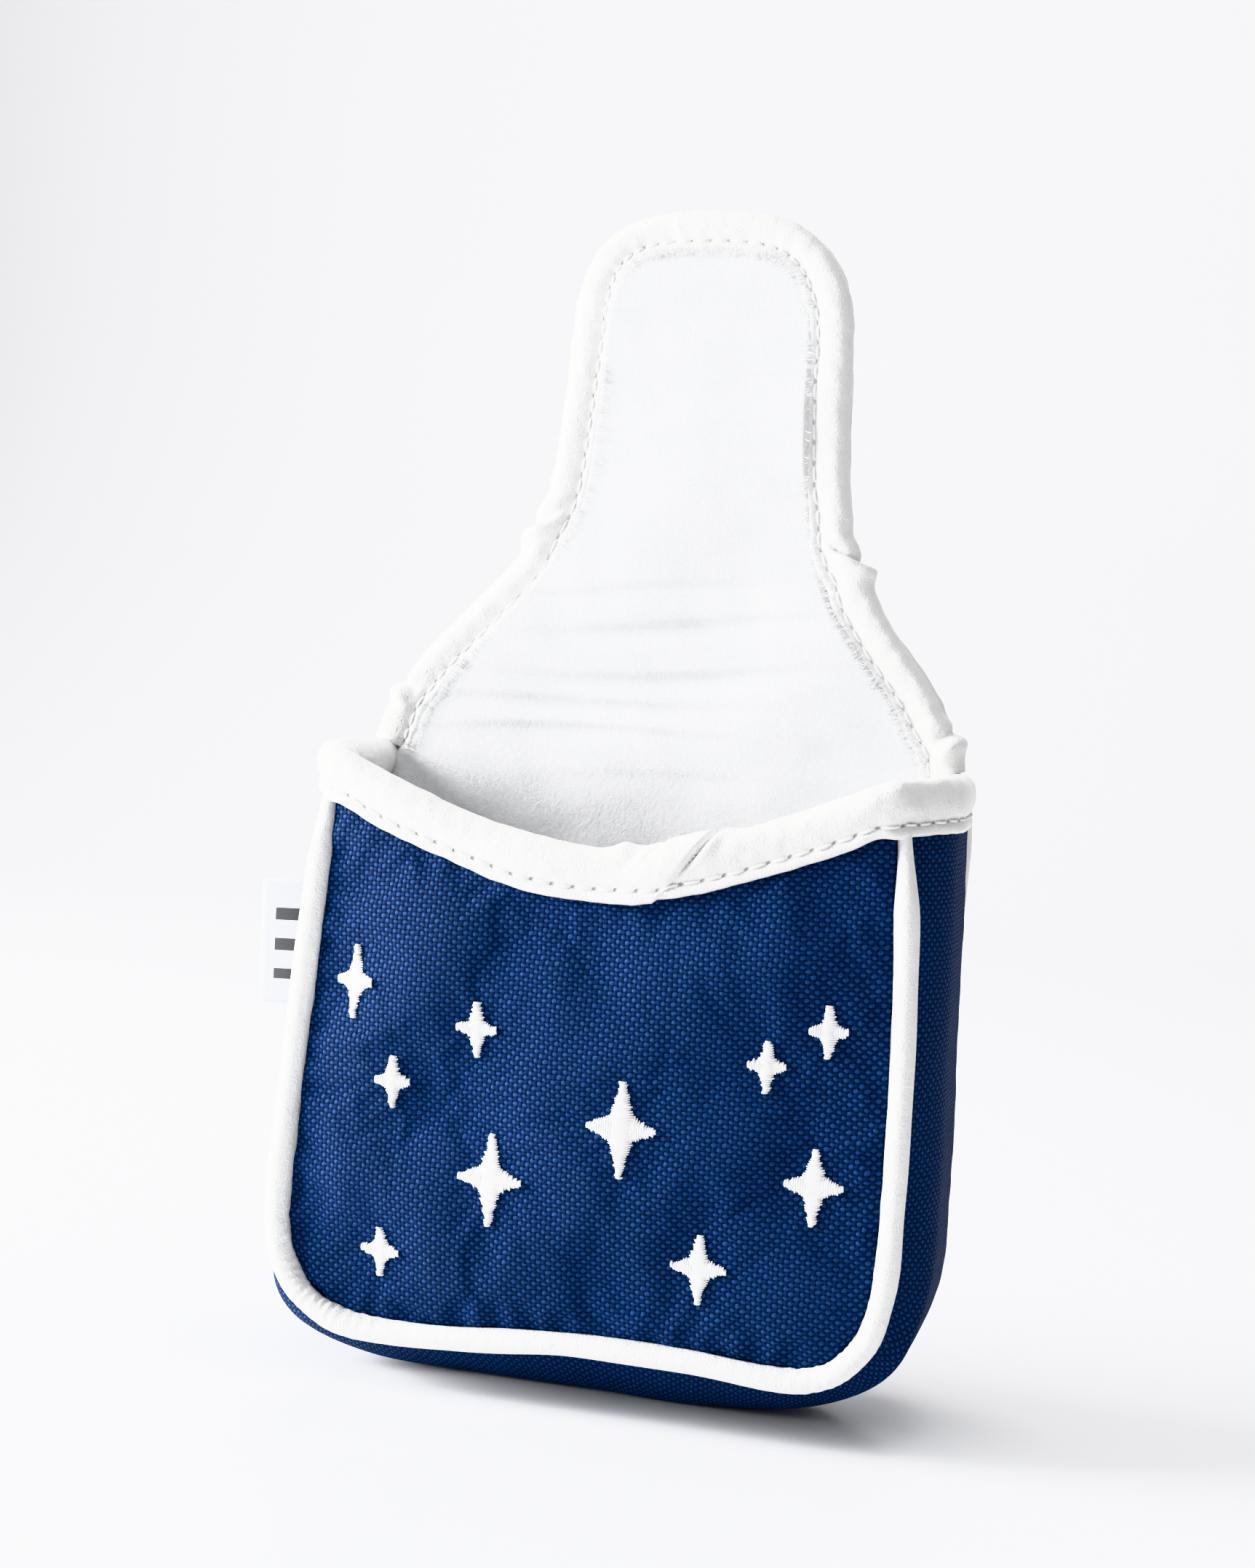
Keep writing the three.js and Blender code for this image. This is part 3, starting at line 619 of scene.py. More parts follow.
def front_layer(inset, bound, open_, columns=150, rows=130, shared=(1.0, 1.0)):
    """The two faces of a layer of the front wall, at their depths where it is bound and where it is open.

    shared is how much of the canvas's relief each face follows."""
    plan = panel_grid(front_seam, inset, mouth_line, columns, rows)
    x, z = plan[..., 0], plan[..., 1]
    stand = front_relief(x, z)
    edge = np.minimum(distance_to(seam_line, x, z) - 2.5, mouth_edge(x) - 9 - z)
    openness = smoothstep(0, 7, edge)
    faces = [in_space(x, front_face(x, z) - stand * share + wall_depth(openness, b, o), z)
             for b, o, share in zip(bound, open_, shared)]
    return faces, in_space(x, z, 0 * x)


SIMULATED_FRAMES = 20
CLOTH_SETTINGS = {
    "quality": 5, "mass": 0.15, "tension_stiffness": 12, "compression_stiffness": 12,
    "bending_stiffness": 0.3, "shrink_min": -0.012, "vertex_group_mass": "pins",
    "use_pressure": True, "uniform_pressure_force": 4,
}


def inflate(grid, held, cap):
    """Puffs a grid of points out by a cloth simulation, by cap at most; held marks the pinned ones."""
    rows, columns = grid.shape[:2]
    sheet = make_mesh("cloth_trial", grid, quads(rows, columns), canvas)
    if sum(p.normal.y * p.area for p in sheet.data.polygons) * grid[..., 1].mean() < 0:
        sheet.data.flip_normals()
    pins = sheet.vertex_groups.new(name="pins")
    pins.add([int(i) for i in np.flatnonzero(held.reshape(-1))], 1.0, "REPLACE")
    modifier = sheet.modifiers.new("cloth", "CLOTH")
    for key, value in CLOTH_SETTINGS.items():
        setattr(modifier.settings, key, value)
    modifier.settings.effector_weights.gravity = 0
    modifier.point_cache.frame_start, modifier.point_cache.frame_end = 1, SIMULATED_FRAMES
    for number in range(1, SIMULATED_FRAMES + 1):
        bpy.context.scene.frame_set(number)
    shaped = sheet.evaluated_get(bpy.context.evaluated_depsgraph_get()).data
    moved = np.empty(rows * columns * 3)
    shaped.vertices.foreach_get("co", moved)
    moved = moved.reshape(grid.shape) / MM - grid
    bpy.data.objects.remove(sheet)
    bpy.context.scene.frame_set(1)
    far = np.linalg.norm(moved, axis=-1, keepdims=True)
    return grid + moved * cap * np.tanh(far / cap) / np.maximum(far, 1e-9)


def rim_mask(grid):
    mask = np.zeros(grid.shape[:2], bool)
    mask[:2], mask[-2:], mask[:, :2], mask[:, -2:] = True, True, True, True
    return mask


def star_mask(grid):
    """Where the stitching of the stars holds the canvas down."""
    mask = np.zeros(grid.shape[:2], bool)
    for x, z, tall, wide in STARS:
        across, up = np.abs(grid[..., 0] - x) / (wide / 2), np.abs(grid[..., 2] - z) / (tall / 2)
        mask |= across**0.75 + up**0.75 < 1
    return mask


(outer, inner), cloth = front_layer(SEAM_TUCK, (0, CANVAS), (0, CANVAS))
under_binding = outer[..., 2] > mouth_edge(outer[..., 0]) - 9.5
puffed = inflate(outer, rim_mask(outer) | star_mask(outer) | under_binding, cap=1.1)
front_canvas = make_shell("front_canvas", puffed, inner + puffed - outer, canvas, cloth)
(outer, inner), _ = front_layer(3.3, (1.1, 2.3), (1.2, 3.5), 100, 90, shared=(1.0, 0.0))
front_foam = make_shell("front_padding", outer, inner, foam)
(outer, inner), _ = front_layer(2.2, (3.5, 2.6), (5.2, 3.8), 90, 80, shared=(0.0, 0.0))
front_lining = make_shell("front_fleece", outer, inner, fleece)


def arc_length(grid, axis):
    steps = np.linalg.norm(np.diff(grid, axis=axis), axis=-1)
    start = np.zeros_like(np.take(steps, [0], axis))
    return np.concatenate([start, np.cumsum(steps, axis)], axis)


gusset_swell = waves(11, 38)
gusset_ripple = waves(12, 15)


def gusset_layer(depths, pressed, edge, columns, rows, relief=False):
    share = np.linspace(0, 1, rows)[:, None] * np.ones((1, columns))
    crowding = math.pi / 2 * 0.92  # columns lie closer together near the seams
    y = edge * np.sin(np.linspace(-1, 1, columns) * crowding) / math.sin(crowding) * np.ones((rows, 1))
    face = gusset_face(share, y)
    outwards = normals_of(face)
    if outwards[rows // 2, columns // 2, 2] > 0:  # the middle of the base faces down
        outwards = -outwards
    along = arc_length(face, 0)[:, columns // 2][:, None] * np.ones((1, columns))
    if relief:
        away_from_floor = smoothstep(4, 16, face[..., 2])
        off_seams = smoothstep(0, 6, GUSSET_EDGE - np.abs(y))
        stand = (0.12 * gusset_swell(along, y) + 0.02 * gusset_ripple(along, y)) * off_seams
        stand += 0.05 * seam_pucker(along, y) * bell(GUSSET_EDGE - np.abs(y), 2.5, 3)
        face = face + outwards * (stand * away_from_floor)[..., None]
    openness = smoothstep(10, 16, SIDE_TOP - face[..., 2])
    faces = [face - outwards * wall_depth(openness, p, d)[..., None] for p, d in zip(pressed, depths)]
    return faces, in_space(arc_length(face, 1), along, 0 * y)


(outer, inner), cloth = gusset_layer((0, CANVAS), (0, CANVAS), 18.6, 60, 420, relief=True)
gusset_canvas = make_shell("gusset_canvas", outer, inner, canvas, cloth)
(outer, inner), _ = gusset_layer((1.1, 3.5), (1.1, 2.3), 15.4, 20, 160)
gusset_foam = make_shell("gusset_padding", outer, inner, foam)
(outer, inner), _ = gusset_layer((3.8, 5.2), (2.6, 3.4), 17.3, 44, 240)
gusset_lining = make_shell("gusset_fleece", inner, outer, fleece)


# ---- back wall and flap

flap_edge = spline([*FLAP_EDGE, *[(-x, h) for x, h in FLAP_EDGE[-2::-1]]])
SWAY = 3.6  # the tongue stands this far off the middle


def sway(h):
    return SWAY * smoothstep(18, 52, h) * (1 - 0.55 * smoothstep(84, 112, h))


def spine(x, h, d):
    """A place on the back wall and flap in space: h is measured up the cloth from the root fold."""
    bend = TILT * smoothstep(-8, 8, h)
    back = math.sin(TILT) * np.maximum(h, 0) * smoothstep(-8, 8, h)
    up = np.where(h > 0, h * math.cos(TILT), h)
    lean = 1.6 * smoothstep(40, 110, h) ** 2
    return in_space(x + sway(h), ROOT_Y + back + lean + d * np.cos(bend), ROOT_Z + up - d * np.sin(bend))


def lower_edge(side, rows):
    """From the lower corner of the back up its seam and the flap's edge to SPLIT_H, at (x, h)."""
    seam = inset_line(back_seam, np.linspace(1 - CORNER_SHARE, 1, 400), SEAM_TUCK)
    seam[:, 1] -= ROOT_Z
    rise = inset_line(flap_edge, np.linspace(0, 0.5, 800), FLAP_TUCK)
    rise = rise[(rise[:, 1] > 1.5) & (rise[:, 1] < SPLIT_H)]
    line = np.concatenate([seam[seam[:, 1] < -2.5], rise, [split_corner()]])
    return resample(line, rows) * [side, 1]


def split_corner():
    rise = inset_line(flap_edge, np.linspace(0, 0.5, 2000), FLAP_TUCK)
    i = int(np.argmin(np.abs(rise[:, 1] - SPLIT_H)))
    return np.array([rise[i, 0], SPLIT_H])


def split_line(columns):
    half = split_corner()[0]
    return np.stack([np.linspace(-half, half, columns), np.full(columns, SPLIT_H)], 1)


def lower_plan(columns, rows):
    around = inset_line(back_seam, np.linspace(CORNER_SHARE, 1 - CORNER_SHARE, 800), SEAM_TUCK)
    around[:, 1] -= ROOT_Z
    bottom = resample(around, columns)
    left, right = lower_edge(-1, rows), lower_edge(1, rows)
    left[0], right[0] = bottom[0], bottom[-1]
    plan = coons(bottom, split_line(columns), left, right)
    further = [plan[-1] + [0, TUCK_LENGTH * share] for share in (0.5, 1)]
    return np.concatenate([plan, further])


def upper_plan(columns, rows):
    shares = np.linspace(0, 1, 3000)
    edge = inset_line(flap_edge, shares, FLAP_TUCK)
    start = int(np.argmax(edge[:, 1] > SPLIT_H))
    shoulder = int(np.argmax(edge[:, 1] > SHOULDER_H))
    right = resample(np.concatenate([[split_corner()], edge[start:shoulder + 1]]), rows)
    top = resample(edge[shoulder:3000 - shoulder][::-1], columns)
    left = right * [-1, 1]
    top[0], top[-1] = left[-1], right[-1]
    return graded(coons(split_line(columns), top, left, right))


rim_line = np.concatenate([
    inset_line(flap_edge, np.linspace(0, 1, 700), 0),
    inset_line(back_seam, np.linspace(0, 1, 500), 0) - [0, ROOT_Z],
])
fleece_wrinkle = waves(21, 9)
flap_swell = waves(22, 40)
back_swell = waves(23, 42)


def crease(h, place):
    """A fold that hangs over a little: steep above its lowest line and gentle below it."""
    return np.where(h > place, bell(h, place, 1.0), bell(h, place, 2.8))


# Level creases of the fleece above the root fold: height, depth and middle
FLEECE_CREASES = [
    (3.5, 1.1, -14), (9.5, 1.6, -16), (15.5, 1.6, 0), (25, 1.4, 2), (32, 0.8, -3), (-6, 0.3, 5),
]


def wall_relief(x, h, openness, face):
    """Unevenness of the back wall and flap: creases of the fleece above the root fold, and soft swells."""
    stand = 0.35 * flap_swell(x, h) * openness
    if face == "lining":
        creases = 0
        for k, (place, depth, middle) in enumerate(FLEECE_CREASES):
            slanting = h - 0.04 * x + 1.2 * np.sin(x / 17 + k)
            creases = creases + depth * crease(slanting, place) * bell(x, middle, 24)
        return stand - creases * openness + 0.03 * fleece_wrinkle(x, h) * openness
    bulge = 2.0 * smoothstep(0, 40, -h) * smoothstep(0, 45, h + 106) * np.maximum(0, 1 - (x / 60) ** 2)
    return stand + bulge + 0.5 * back_swell(x, h) * openness * smoothstep(0, 10, -h)


def wall_layer(plan, pressed, free, sides, tuck):
    """The two faces of a layer of the back wall or flap; sides names the relief that each face follows."""
    x, h = plan[..., 0], plan[..., 1]
    rim = distance_to(rim_line, x, h)
    from_rim = rim - 3 - smoothstep(-6, 2, h) * 3.4
    pinch = 1 - 0.35 * bell(h, 0, 4)
    faces = []
    seen_depth, hidden_depth = WALL - free[0], WALL - free[1]
    inwards = tuck * smoothstep(SPLIT_H, SPLIT_H + TUCK_LENGTH, h) * np.sign(hidden_depth - seen_depth)
    for p, f, side, way in zip(pressed, free, sides, (1, -1)):
        openness = smoothstep(0, 2.2 if side == "lining" else 6, from_rim)
        d = WALL - wall_depth(openness * pinch, p, f) + way * inwards
        stand = wall_relief(x, h, openness, side)
        faces.append(spine(x, h, d - stand if side == "lining" else d + stand))
    return faces, in_space(x, h, 0 * x)


# Each layer's depths where it is pressed and where it is free, the relief that its two faces follow, its
# material, and its grid: columns, rows of the back, and rows of the flap
LAYERS = {
    "canvas": ((0, CANVAS), (0, CANVAS), ("canvas", "canvas"), canvas, 130, 190, 150),
    "padding": ((1.1, 2.2), (1.2, 3.5), ("canvas", "lining"), foam, 80, 120, 100),
    "fleece": ((3.4, 2.6), (5.2, 3.8), ("lining", "lining"), fleece, 150, 220, 180),
}
HELD_ABOVE = -14.0  # the simulated back stays as it is above this height, where it folds into the flap
wall = {}
for layer, (pressed, free, sides, material, columns, back_rows, flap_rows) in LAYERS.items():
    for part, plan in (("back", lower_plan(columns, back_rows)), ("flap", upper_plan(columns, flap_rows))):
        (seen, hidden), cloth = wall_layer(plan, pressed, free, sides, TUCK if part == "back" else 0)
        if (part, layer) == ("back", "canvas"):
            still = rim_mask(seen) | (plan[..., 1] > HELD_ABOVE)
            puffed = inflate(seen, still, cap=1.4)
            seen, hidden = puffed, hidden + puffed - seen
        wall[part, layer] = make_shell(part + "_" + layer, seen, hidden, material, cloth)


# ---- pipings

def wrinkled(shares, angle, corner_zone, seed):
    """How far the leather of a piping stands out along its length and round it."""
    length = shares * 300
    fine = waves(seed, 2.6, 10)(length, angle * 1.2)
    broad = waves(seed + 1, 19)(length, angle * 3)
    return 0.08 * broad + 0.11 * fine * corner_zone * (0.35 + 0.65 * np.maximum(0, np.cos(angle)))


def make_piping(name, seam, y, first, seed):
    shares = np.linspace(first, 1 - first, 520)
    line = seam(shares)
    tangent = unit(np.gradient(line, axis=0))
    inwards = left_of(tangent)
    turn = np.linalg.norm(np.gradient(tangent, axis=0), axis=1)
    turn = np.convolve(turn / turn.max(), np.ones(25) / 25, "same")[:, None]
    angle = np.linspace(0, 2 * math.pi, 28, endpoint=False)[None, :]
    radius = PIPING_RADIUS + wrinkled(shares[:, None], angle, turn, seed)
    end = np.minimum(np.arange(520), 519 - np.arange(520))[:, None]
    radius = radius * (0.6 + 0.4 * smoothstep(0, 22, end))
    radius = radius * (1 - 0.13 * smoothstep(0.3, 0.5, shares[:, None]))
    x = line[:, 0, None] + inwards[:, 0, None] * radius * np.cos(angle)
    z = line[:, 1, None] + inwards[:, 1, None] * radius * np.cos(angle)
    sink = 1.3 * smoothstep(20, 0, end)
    return make_tube(name, in_space(x, y + np.sign(-y) * sink + radius * np.sin(angle), z), leather)


front_piping = make_piping("front_piping_leather", front_seam, FRONT_Y, 0.027, 31)
rear_piping = make_piping("rear_piping_leather", back_seam, BACK_Y, 0.004, 41)


# ---- a single thread or fibre

def capsule(points, radius, sides=6):
    """Rings of a thin round thread along a short line of points, drawn in at both ends."""
    points = np.asarray(points, float)
    tangent = unit(np.gradient(points, axis=0))
    side = unit(np.cross(tangent, [0.13, 0.97, 0.21]))
    up = np.cross(side, tangent)
    angle = np.linspace(0, 2 * math.pi, sides, endpoint=False)
    taper = np.full(len(points), 1.0)
    taper[0] = taper[-1] = 0.5
    ring = side[:, None] * np.cos(angle)[None, :, None] + up[:, None] * np.sin(angle)[None, :, None]
    return points[:, None] + ring * (radius * taper)[:, None, None]


# ---- bindings

# The section of a folded binding: across the wall, and down from the cloth's edge
SECTION = [
    (0.4, 8.3), (0.8, 8.7), (1.2, 8.4), (1.35, 7.5), (0.85, 6.4), (1.35, 5.2), (1.75, 3.6), (1.8, 1.9),
    (1.35, 0.3), (0.3, -0.8), (-0.9, -1.2), (-1.7, -1.25), (-2.5, -1.2), (-3.7, -0.8), (-4.75, 0.3),
    (-5.2, 1.9), (-5.15, 3.6), (-4.75, 5.2), (-4.25, 6.4), (-4.75, 7.5), (-4.6, 8.4), (-4.2, 8.7),
    (-3.8, 8.3), (-3.6, 5), (-3.2, 2), (-1.7, 1.4), (-0.2, 2), (0.2, 5),
]
SECTION_MIDDLE = -1.7  # half way between the two legs
STITCH_DOWN = 6.4


def binding_section(count):
    closed = spline([*SECTION[-1:], *SECTION, *SECTION[:2]])
    share = np.linspace(1, len(SECTION) + 1, 1200) / (len(SECTION) + 2)
    return resample(closed(share), count + 1)[:-1]


def sweep(section, at, across, down):
    return at[:, None] + across[:, None] * section[None, :, :1] + down[:, None] * section[None, :, 1:]


def dense_path(stations, count):
    """Stations of (at, across, down) joined smoothly and spaced evenly along at."""
    joined = spline([np.concatenate(parts) for parts in stations])(np.linspace(0, 1, 4000))
    joined = resample(joined, count, 3)
    at, across, down = joined[:, :3], joined[:, 3:6], unit(joined[:, 6:])
    return at, square_to(down, across), down


def square_to(down, across):
    """across, turned to be square to down."""
    return unit(across - down * (across * down).sum(1, keepdims=True))


MOUTH_CORNER = 50.5  # how far out the front part of the mouth's binding goes before it turns back
GUSSET_DEPTHS = [GUSSET_EDGE, 15, 9, 3, -3, -9, -14.5]


def station(at, low, beside, outwards):
    """A place on a wall's edge, the direction out of the wall there, and the direction down it."""
    down = unit(low - at)
    across = np.cross(down, beside - at)
    return at, unit(across * np.sign(across @ outwards)), down


def gusset_station(share, y):
    left = share < 0.5
    at, low, beside = (gusset_face(np.array(s), np.array(float(d)))
                       for s, d in ((share, y), (0.03 if left else 0.97, y), (share, y - 0.5)))
    return station(at, low, beside, np.array([-1.0 if left else 1.0, 0, 0]))


def front_station(x):
    z = float(mouth_edge(x))
    at, low, beside = (np.array([a, front_face(a, b), b]) for a, b in ((x, z), (x, z - 8), (x + 0.5, z)))
    return station(at, low, beside, np.array([0, -1.0, 0]))


def corner_station(x, share):
    front, side = front_station(x), gusset_station(share, GUSSET_DEPTHS[-1])
    across = unit(front[1] + side[1])
    return (front[0] + side[0]) / 2 + across * 1.8, across, (front[2] + side[2]) / 2


def mouth_stations():
    left, right = MOUTH_SLUMP - MOUTH_CORNER, MOUTH_CORNER
    return [
        *[gusset_station(0.0, y) for y in GUSSET_DEPTHS],
        corner_station(left, 0.0),
        *[front_station(x) for x in np.linspace(left, right, 21)],
        corner_station(right, 1.0),
        *[gusset_station(1.0, y) for y in GUSSET_DEPTHS[::-1]],
    ]


# The lap where the mouth binding ends: its place, slant, height and how far back it fades
LAP = {"x": 17.5, "slope": -0.95, "thickness": 0.75, "length": 15}


def binding_relief(section, along, seed, pucker):
    """How far the leather stands out; along and pucker are columns of lengths and of extra creasing."""
    place = section[None, :, 1] + np.sign(section[None, :, 0] - SECTION_MIDDLE) * 9
    broad = waves(seed, 24)(along, place)
    fine = waves(seed + 1, 4.5)(along, place)
    between_stitches = np.cos(2 * math.pi * along / STITCH_PITCH)
    quilted = -0.1 * bell(section[None, :, 1], STITCH_DOWN, 0.9) * between_stitches
    return 0.12 * broad + (0.03 + 0.3 * pucker) * fine + quilted


def make_binding(name, at, across, down, along, seed, material, extra, pucker=0.0, leg=1.0, tuck=0.0):
    """A binding, and for each of its two faces its line of stitching, the direction out of it, and along.

    along is the length along the strip at each station, so that strips that meet carry on from each other.
    extra gives more relief, leg scales the legs' length, and tuck sinks the leather under the next strip."""
    section = binding_section(72)
    along = along[:, None]
    shape = section * np.where(section[:, 1:] > 0, [1, leg], 1)
    grid = sweep(shape, at, across, down)
    outwards = unit(grid - sweep(np.array([[SECTION_MIDDLE, 3.6]]), at, across, down))
    inside = (section[:, 1] > 1.2) & (section[:, 0] < 0.45) & (section[:, 0] > -3.85)
    stand = binding_relief(section, along, seed, pucker) + extra(grid, section) - tuck
    grid = grid + outwards * np.where(inside[None, :], 0, stand)[..., None]
    from_stitching = np.where(inside, 5, section[:, 1] - STITCH_DOWN)[None, :] * np.ones_like(along)
    cloth = in_space(along * np.ones_like(from_stitching), from_stitching, 0 * from_stitching)
    lines = []
    for sign in (1, -1):
        face = np.flatnonzero(~inside & ((section[:, 0] - SECTION_MIDDLE) * sign > 0) & (section[:, 1] > 2))
        face = face[np.argsort(section[face, 1])]
        upper = face[section[face, 1] <= STITCH_DOWN][-1]
        lower = face[section[face, 1] > STITCH_DOWN][0]
        share = (STITCH_DOWN - section[upper, 1]) / (section[lower, 1] - section[upper, 1])
        lines.append((grid[:, upper] * (1 - share) + grid[:, lower] * share, across * sign, along[:, 0]))
    return make_tube(name, grid, material, cloth), lines


def mouth_lap(grid, section):
    """The diagonal end of the strip, lapped over its start, with a slit and a few creases."""
    x, down = grid[..., 0], section[None, :, 1]
    past = x - LAP["x"] - LAP["slope"] * (down - 3)
    front = (section[None, :, 0] > -2.6) & (grid[..., 1] < -15)
    step = smoothstep(0.9, -0.3, past) * smoothstep(-LAP["length"], -3, past)
    slit = bell(past, 0.9, 0.45) * smoothstep(6, 3.5, down)
    ridge = bell(past, 2.6, 1.3) * smoothstep(6, 1, down)
    creases = bell(past, -8.5, 0.8) + 0.7 * bell(past, -11.5, 0.9)
    relief = LAP["thickness"] * step + 0.55 * ridge - 1.1 * slit - 0.3 * creases * smoothstep(5, 0, down)
    peak = bell(x, LAP["x"] - 12, 2.0) * bell(down, -1.2, 1.6) * (grid[..., 1] < -15)
    return np.where(front, relief, 0) + peak


mouth_at, mouth_across, mouth_down = dense_path(mouth_stations(), 640)
corner_pucker = (bell(np.abs(mouth_at[:, 0]), 55, 5) * bell(mouth_at[:, 1], -18, 6))[:, None]
mouth_binding, mouth_lines = make_binding(
    "mouth_binding_leather", mouth_at, mouth_across, mouth_down, lengths_of(mouth_at), 53, mouth_leather,
    mouth_lap, 0.04 + 0.12 * corner_pucker
)


FLAP_INSET = 1.1  # how far inside the flap's edge its binding's section starts


def flap_stations(shares):
    """Stations of the flap's binding; the strip is a little slack where the edge turns."""
    inwards = left_of(heading(flap_edge, shares))
    edge = inset_line(flap_edge, shares, FLAP_INSET)
    edge = edge - kinks(edge[:, 0], edge[:, 1])[:, None] * inwards
    low = edge + 8 * inwards

    def on_wall(line, depth):
        return spine(line[:, 0], line[:, 1], np.full(len(line), depth))

    at = on_wall(edge, WALL)
    down = unit(on_wall(low, WALL) - at)
    return at, square_to(down, on_wall(edge, WALL + 1) - at), down


def kinks(x, h):
    """How far the edge stands out where the binding buckles: once at the neck and once above the root."""
    right = 0.9 * bell(h, 37, 3.6) - 0.5 * bell(h, 44, 4) + 0.8 * bell(h, 5.5, 3)
    left = 0.5 * bell(h, 44, 3.6) - 0.4 * bell(h, 38, 3) + 0.7 * bell(h, 9, 3)
    return np.where(x > 0, right, left)


def flap_buckles(grid, section):
    """The rolled edge rucks up beside a sharp crease where it turns: at the neck and above the root."""
    x, h = grid[..., 0], grid[..., 2] - ROOT_Z
    slant = 0.5 * section[None, :, 1]
    roll = smoothstep(6, 1.5, section[None, :, 1])
    neck = np.where(x > 0, 37.5, 42.5) + slant
    root = np.where(x > 0, 4.5, 9) - slant
    ruck = 1.1 * bell(h, neck, 1.7) - 0.9 * bell(h, neck + 2.6, 0.8) + 0.4 * bell(h, neck + 5.5, 1.4)
    ruck += 0.9 * bell(h, root, 1.6) - 0.8 * bell(h, root + 2.4, 0.8)
    return ruck * roll


def flap_pucker(at):
    h = at[:, 2] - ROOT_Z
    return (0.15 * bell(h, 40, 6) + 0.15 * bell(h, 8, 5) + 0.05)[:, None]


FLAP_LEG = 0.86  # the legs of the flap's binding are this much of the mouth's
LEG_END = 8.7  # how far down the section's legs end


def pile_fringe(at, across, down, count):
    """Single fibres of the fleece that lie over the inner edge of the flap's binding."""
    rng = np.random.RandomState(71)
    tangent = unit(np.gradient(at, axis=0))
    fibres = []
    for _ in range(count):
        i = rng.randint(2, len(at) - 2)
        root = at[i] + down[i] * (LEG_END * FLAP_LEG + rng.uniform(0.1, 1.8)) - across[i] * 4.6
        reach = -down[i] * rng.uniform(0.5, 2.1) + tangent[i] * rng.uniform(-0.9, 0.9)
        lift = -across[i] * rng.uniform(0.5, 1.1)
        fibres.append(capsule([root, root + reach * 0.45 + lift, root + reach + lift * 0.8], 0.07, sides=3))
    return fibres


flap_shares = np.linspace(0, 1, 6000)
flap_lengths = lengths_of(inset_line(flap_edge, flap_shares, FLAP_INSET))


def strip(low, high, count):
    """Evenly spaced lengths along the flap's whole edge, and its shares there."""
    along = graded(graded(np.linspace(low, high, count))[::-1])[::-1]
    return np.interp(along, flap_lengths, flap_shares), along


def share_at(h):
    shares = np.linspace(0, 0.5, 4000)
    return float(shares[np.argmax(inset_line(flap_edge, shares, FLAP_INSET)[:, 1] > h)])


split_share = share_at(SPLIT_H)
split_length = float(np.interp(split_share, flap_shares, flap_lengths))
STRIPS = {
    "flap_binding_right_root": (0, split_length + TUCK_LENGTH, 90),
    "flap_binding_left_root": (flap_lengths[-1] - split_length - TUCK_LENGTH, flap_lengths[-1], 90),
    "flap_binding_tongue": (split_length, flap_lengths[-1] - split_length, 620),
}
flap_binding, flap_lines, flap_pile = {}, {}, {}
for name, ends in STRIPS.items():
    shares, along = strip(*ends)
    at, across, down = flap_stations(shares)
    from_root = np.minimum(along, flap_lengths[-1] - along)
    tuck = 0
    if name != "flap_binding_tongue":
        tuck = TUCK * smoothstep(split_length, split_length + TUCK_LENGTH, from_root)[:, None]
    flap_binding[name], flap_lines[name] = make_binding(
        name, at, across, down, along, 61, flap_leather, flap_buckles, flap_pucker(at), FLAP_LEG, tuck
    )
    flap_pile[name] = pile_fringe(at, across, down, int(6 * (along[-1] - along[0])))


# ---- threads

def make_threads(name, threads, material, sides=6):
    """One object from many threads, each a closed tube."""
    faces, start = [], 0
    for rings in threads:
        faces += tube_faces(len(rings), sides, start, flip=True)
        start += len(rings) * sides
    return make_mesh(name, np.concatenate([rings.reshape(-1, 3) for rings in threads]), faces, material)


def surface_of(piece):
    mesh = piece.data
    return BVHTree.FromPolygons([v.co for v in mesh.vertices], [list(p.vertices) for p in mesh.polygons])


def star_threads(tree, star, rng):
    """Satin stitches: level threads down the tall lozenge, upright threads on the two side arms."""
    sx, sz, tall, wide = star
    sz, tall, wide = sz + 0.5, tall + 0.4, wide + 0.8
    pitch, radius = 0.43, 0.25
    threads = []

    def stitch(ax, az, bx, bz, lift):
        line = []
        for share in np.linspace(0, 1, 7):
            x, z = ax + (bx - ax) * share, az + (bz - az) * share
            hit = tree.ray_cast(Vector((x * MM, -60 * MM, z * MM)), Vector((0, 1, 0)))[0]
            rise = lift * math.sin(math.pi * share) ** 0.6 + 0.05
            line.append((x, hit.y / MM - rise, z))
        threads.append(capsule(line, radius))

    waist = 0.2 * wide
    for z in np.arange(-tall / 2, tall / 2, pitch):
        half = 0.5 + waist * max(0, 1 - abs(z) / (tall / 2)) ** 1.35
        jag = rng.uniform(-0.2, 0.26, 2)
        stitch(sx - half - jag[0], sz + z, sx + half + jag[1], sz + z, 0.62)
    arm = 0.17 * tall
    for x in np.arange(waist * 0.75, wide / 2, pitch):
        half = 0.5 + arm * max(0, 1 - x / (wide / 2)) ** 1.2
        for side in (-1, 1):
            jag = rng.uniform(-0.18, 0.24, 2)
            stitch(sx + side * x, sz - half - jag[0], sx + side * x, sz + half + jag[1], 0.5)
    return threads


front_tree = surface_of(front_canvas)
stars = []
rng = np.random.RandomState(7)
for number, star in enumerate(STARS, 1):
    stars.append(make_threads(f"star_{number:02d}_stitching", star_threads(front_tree, star, rng), thread))


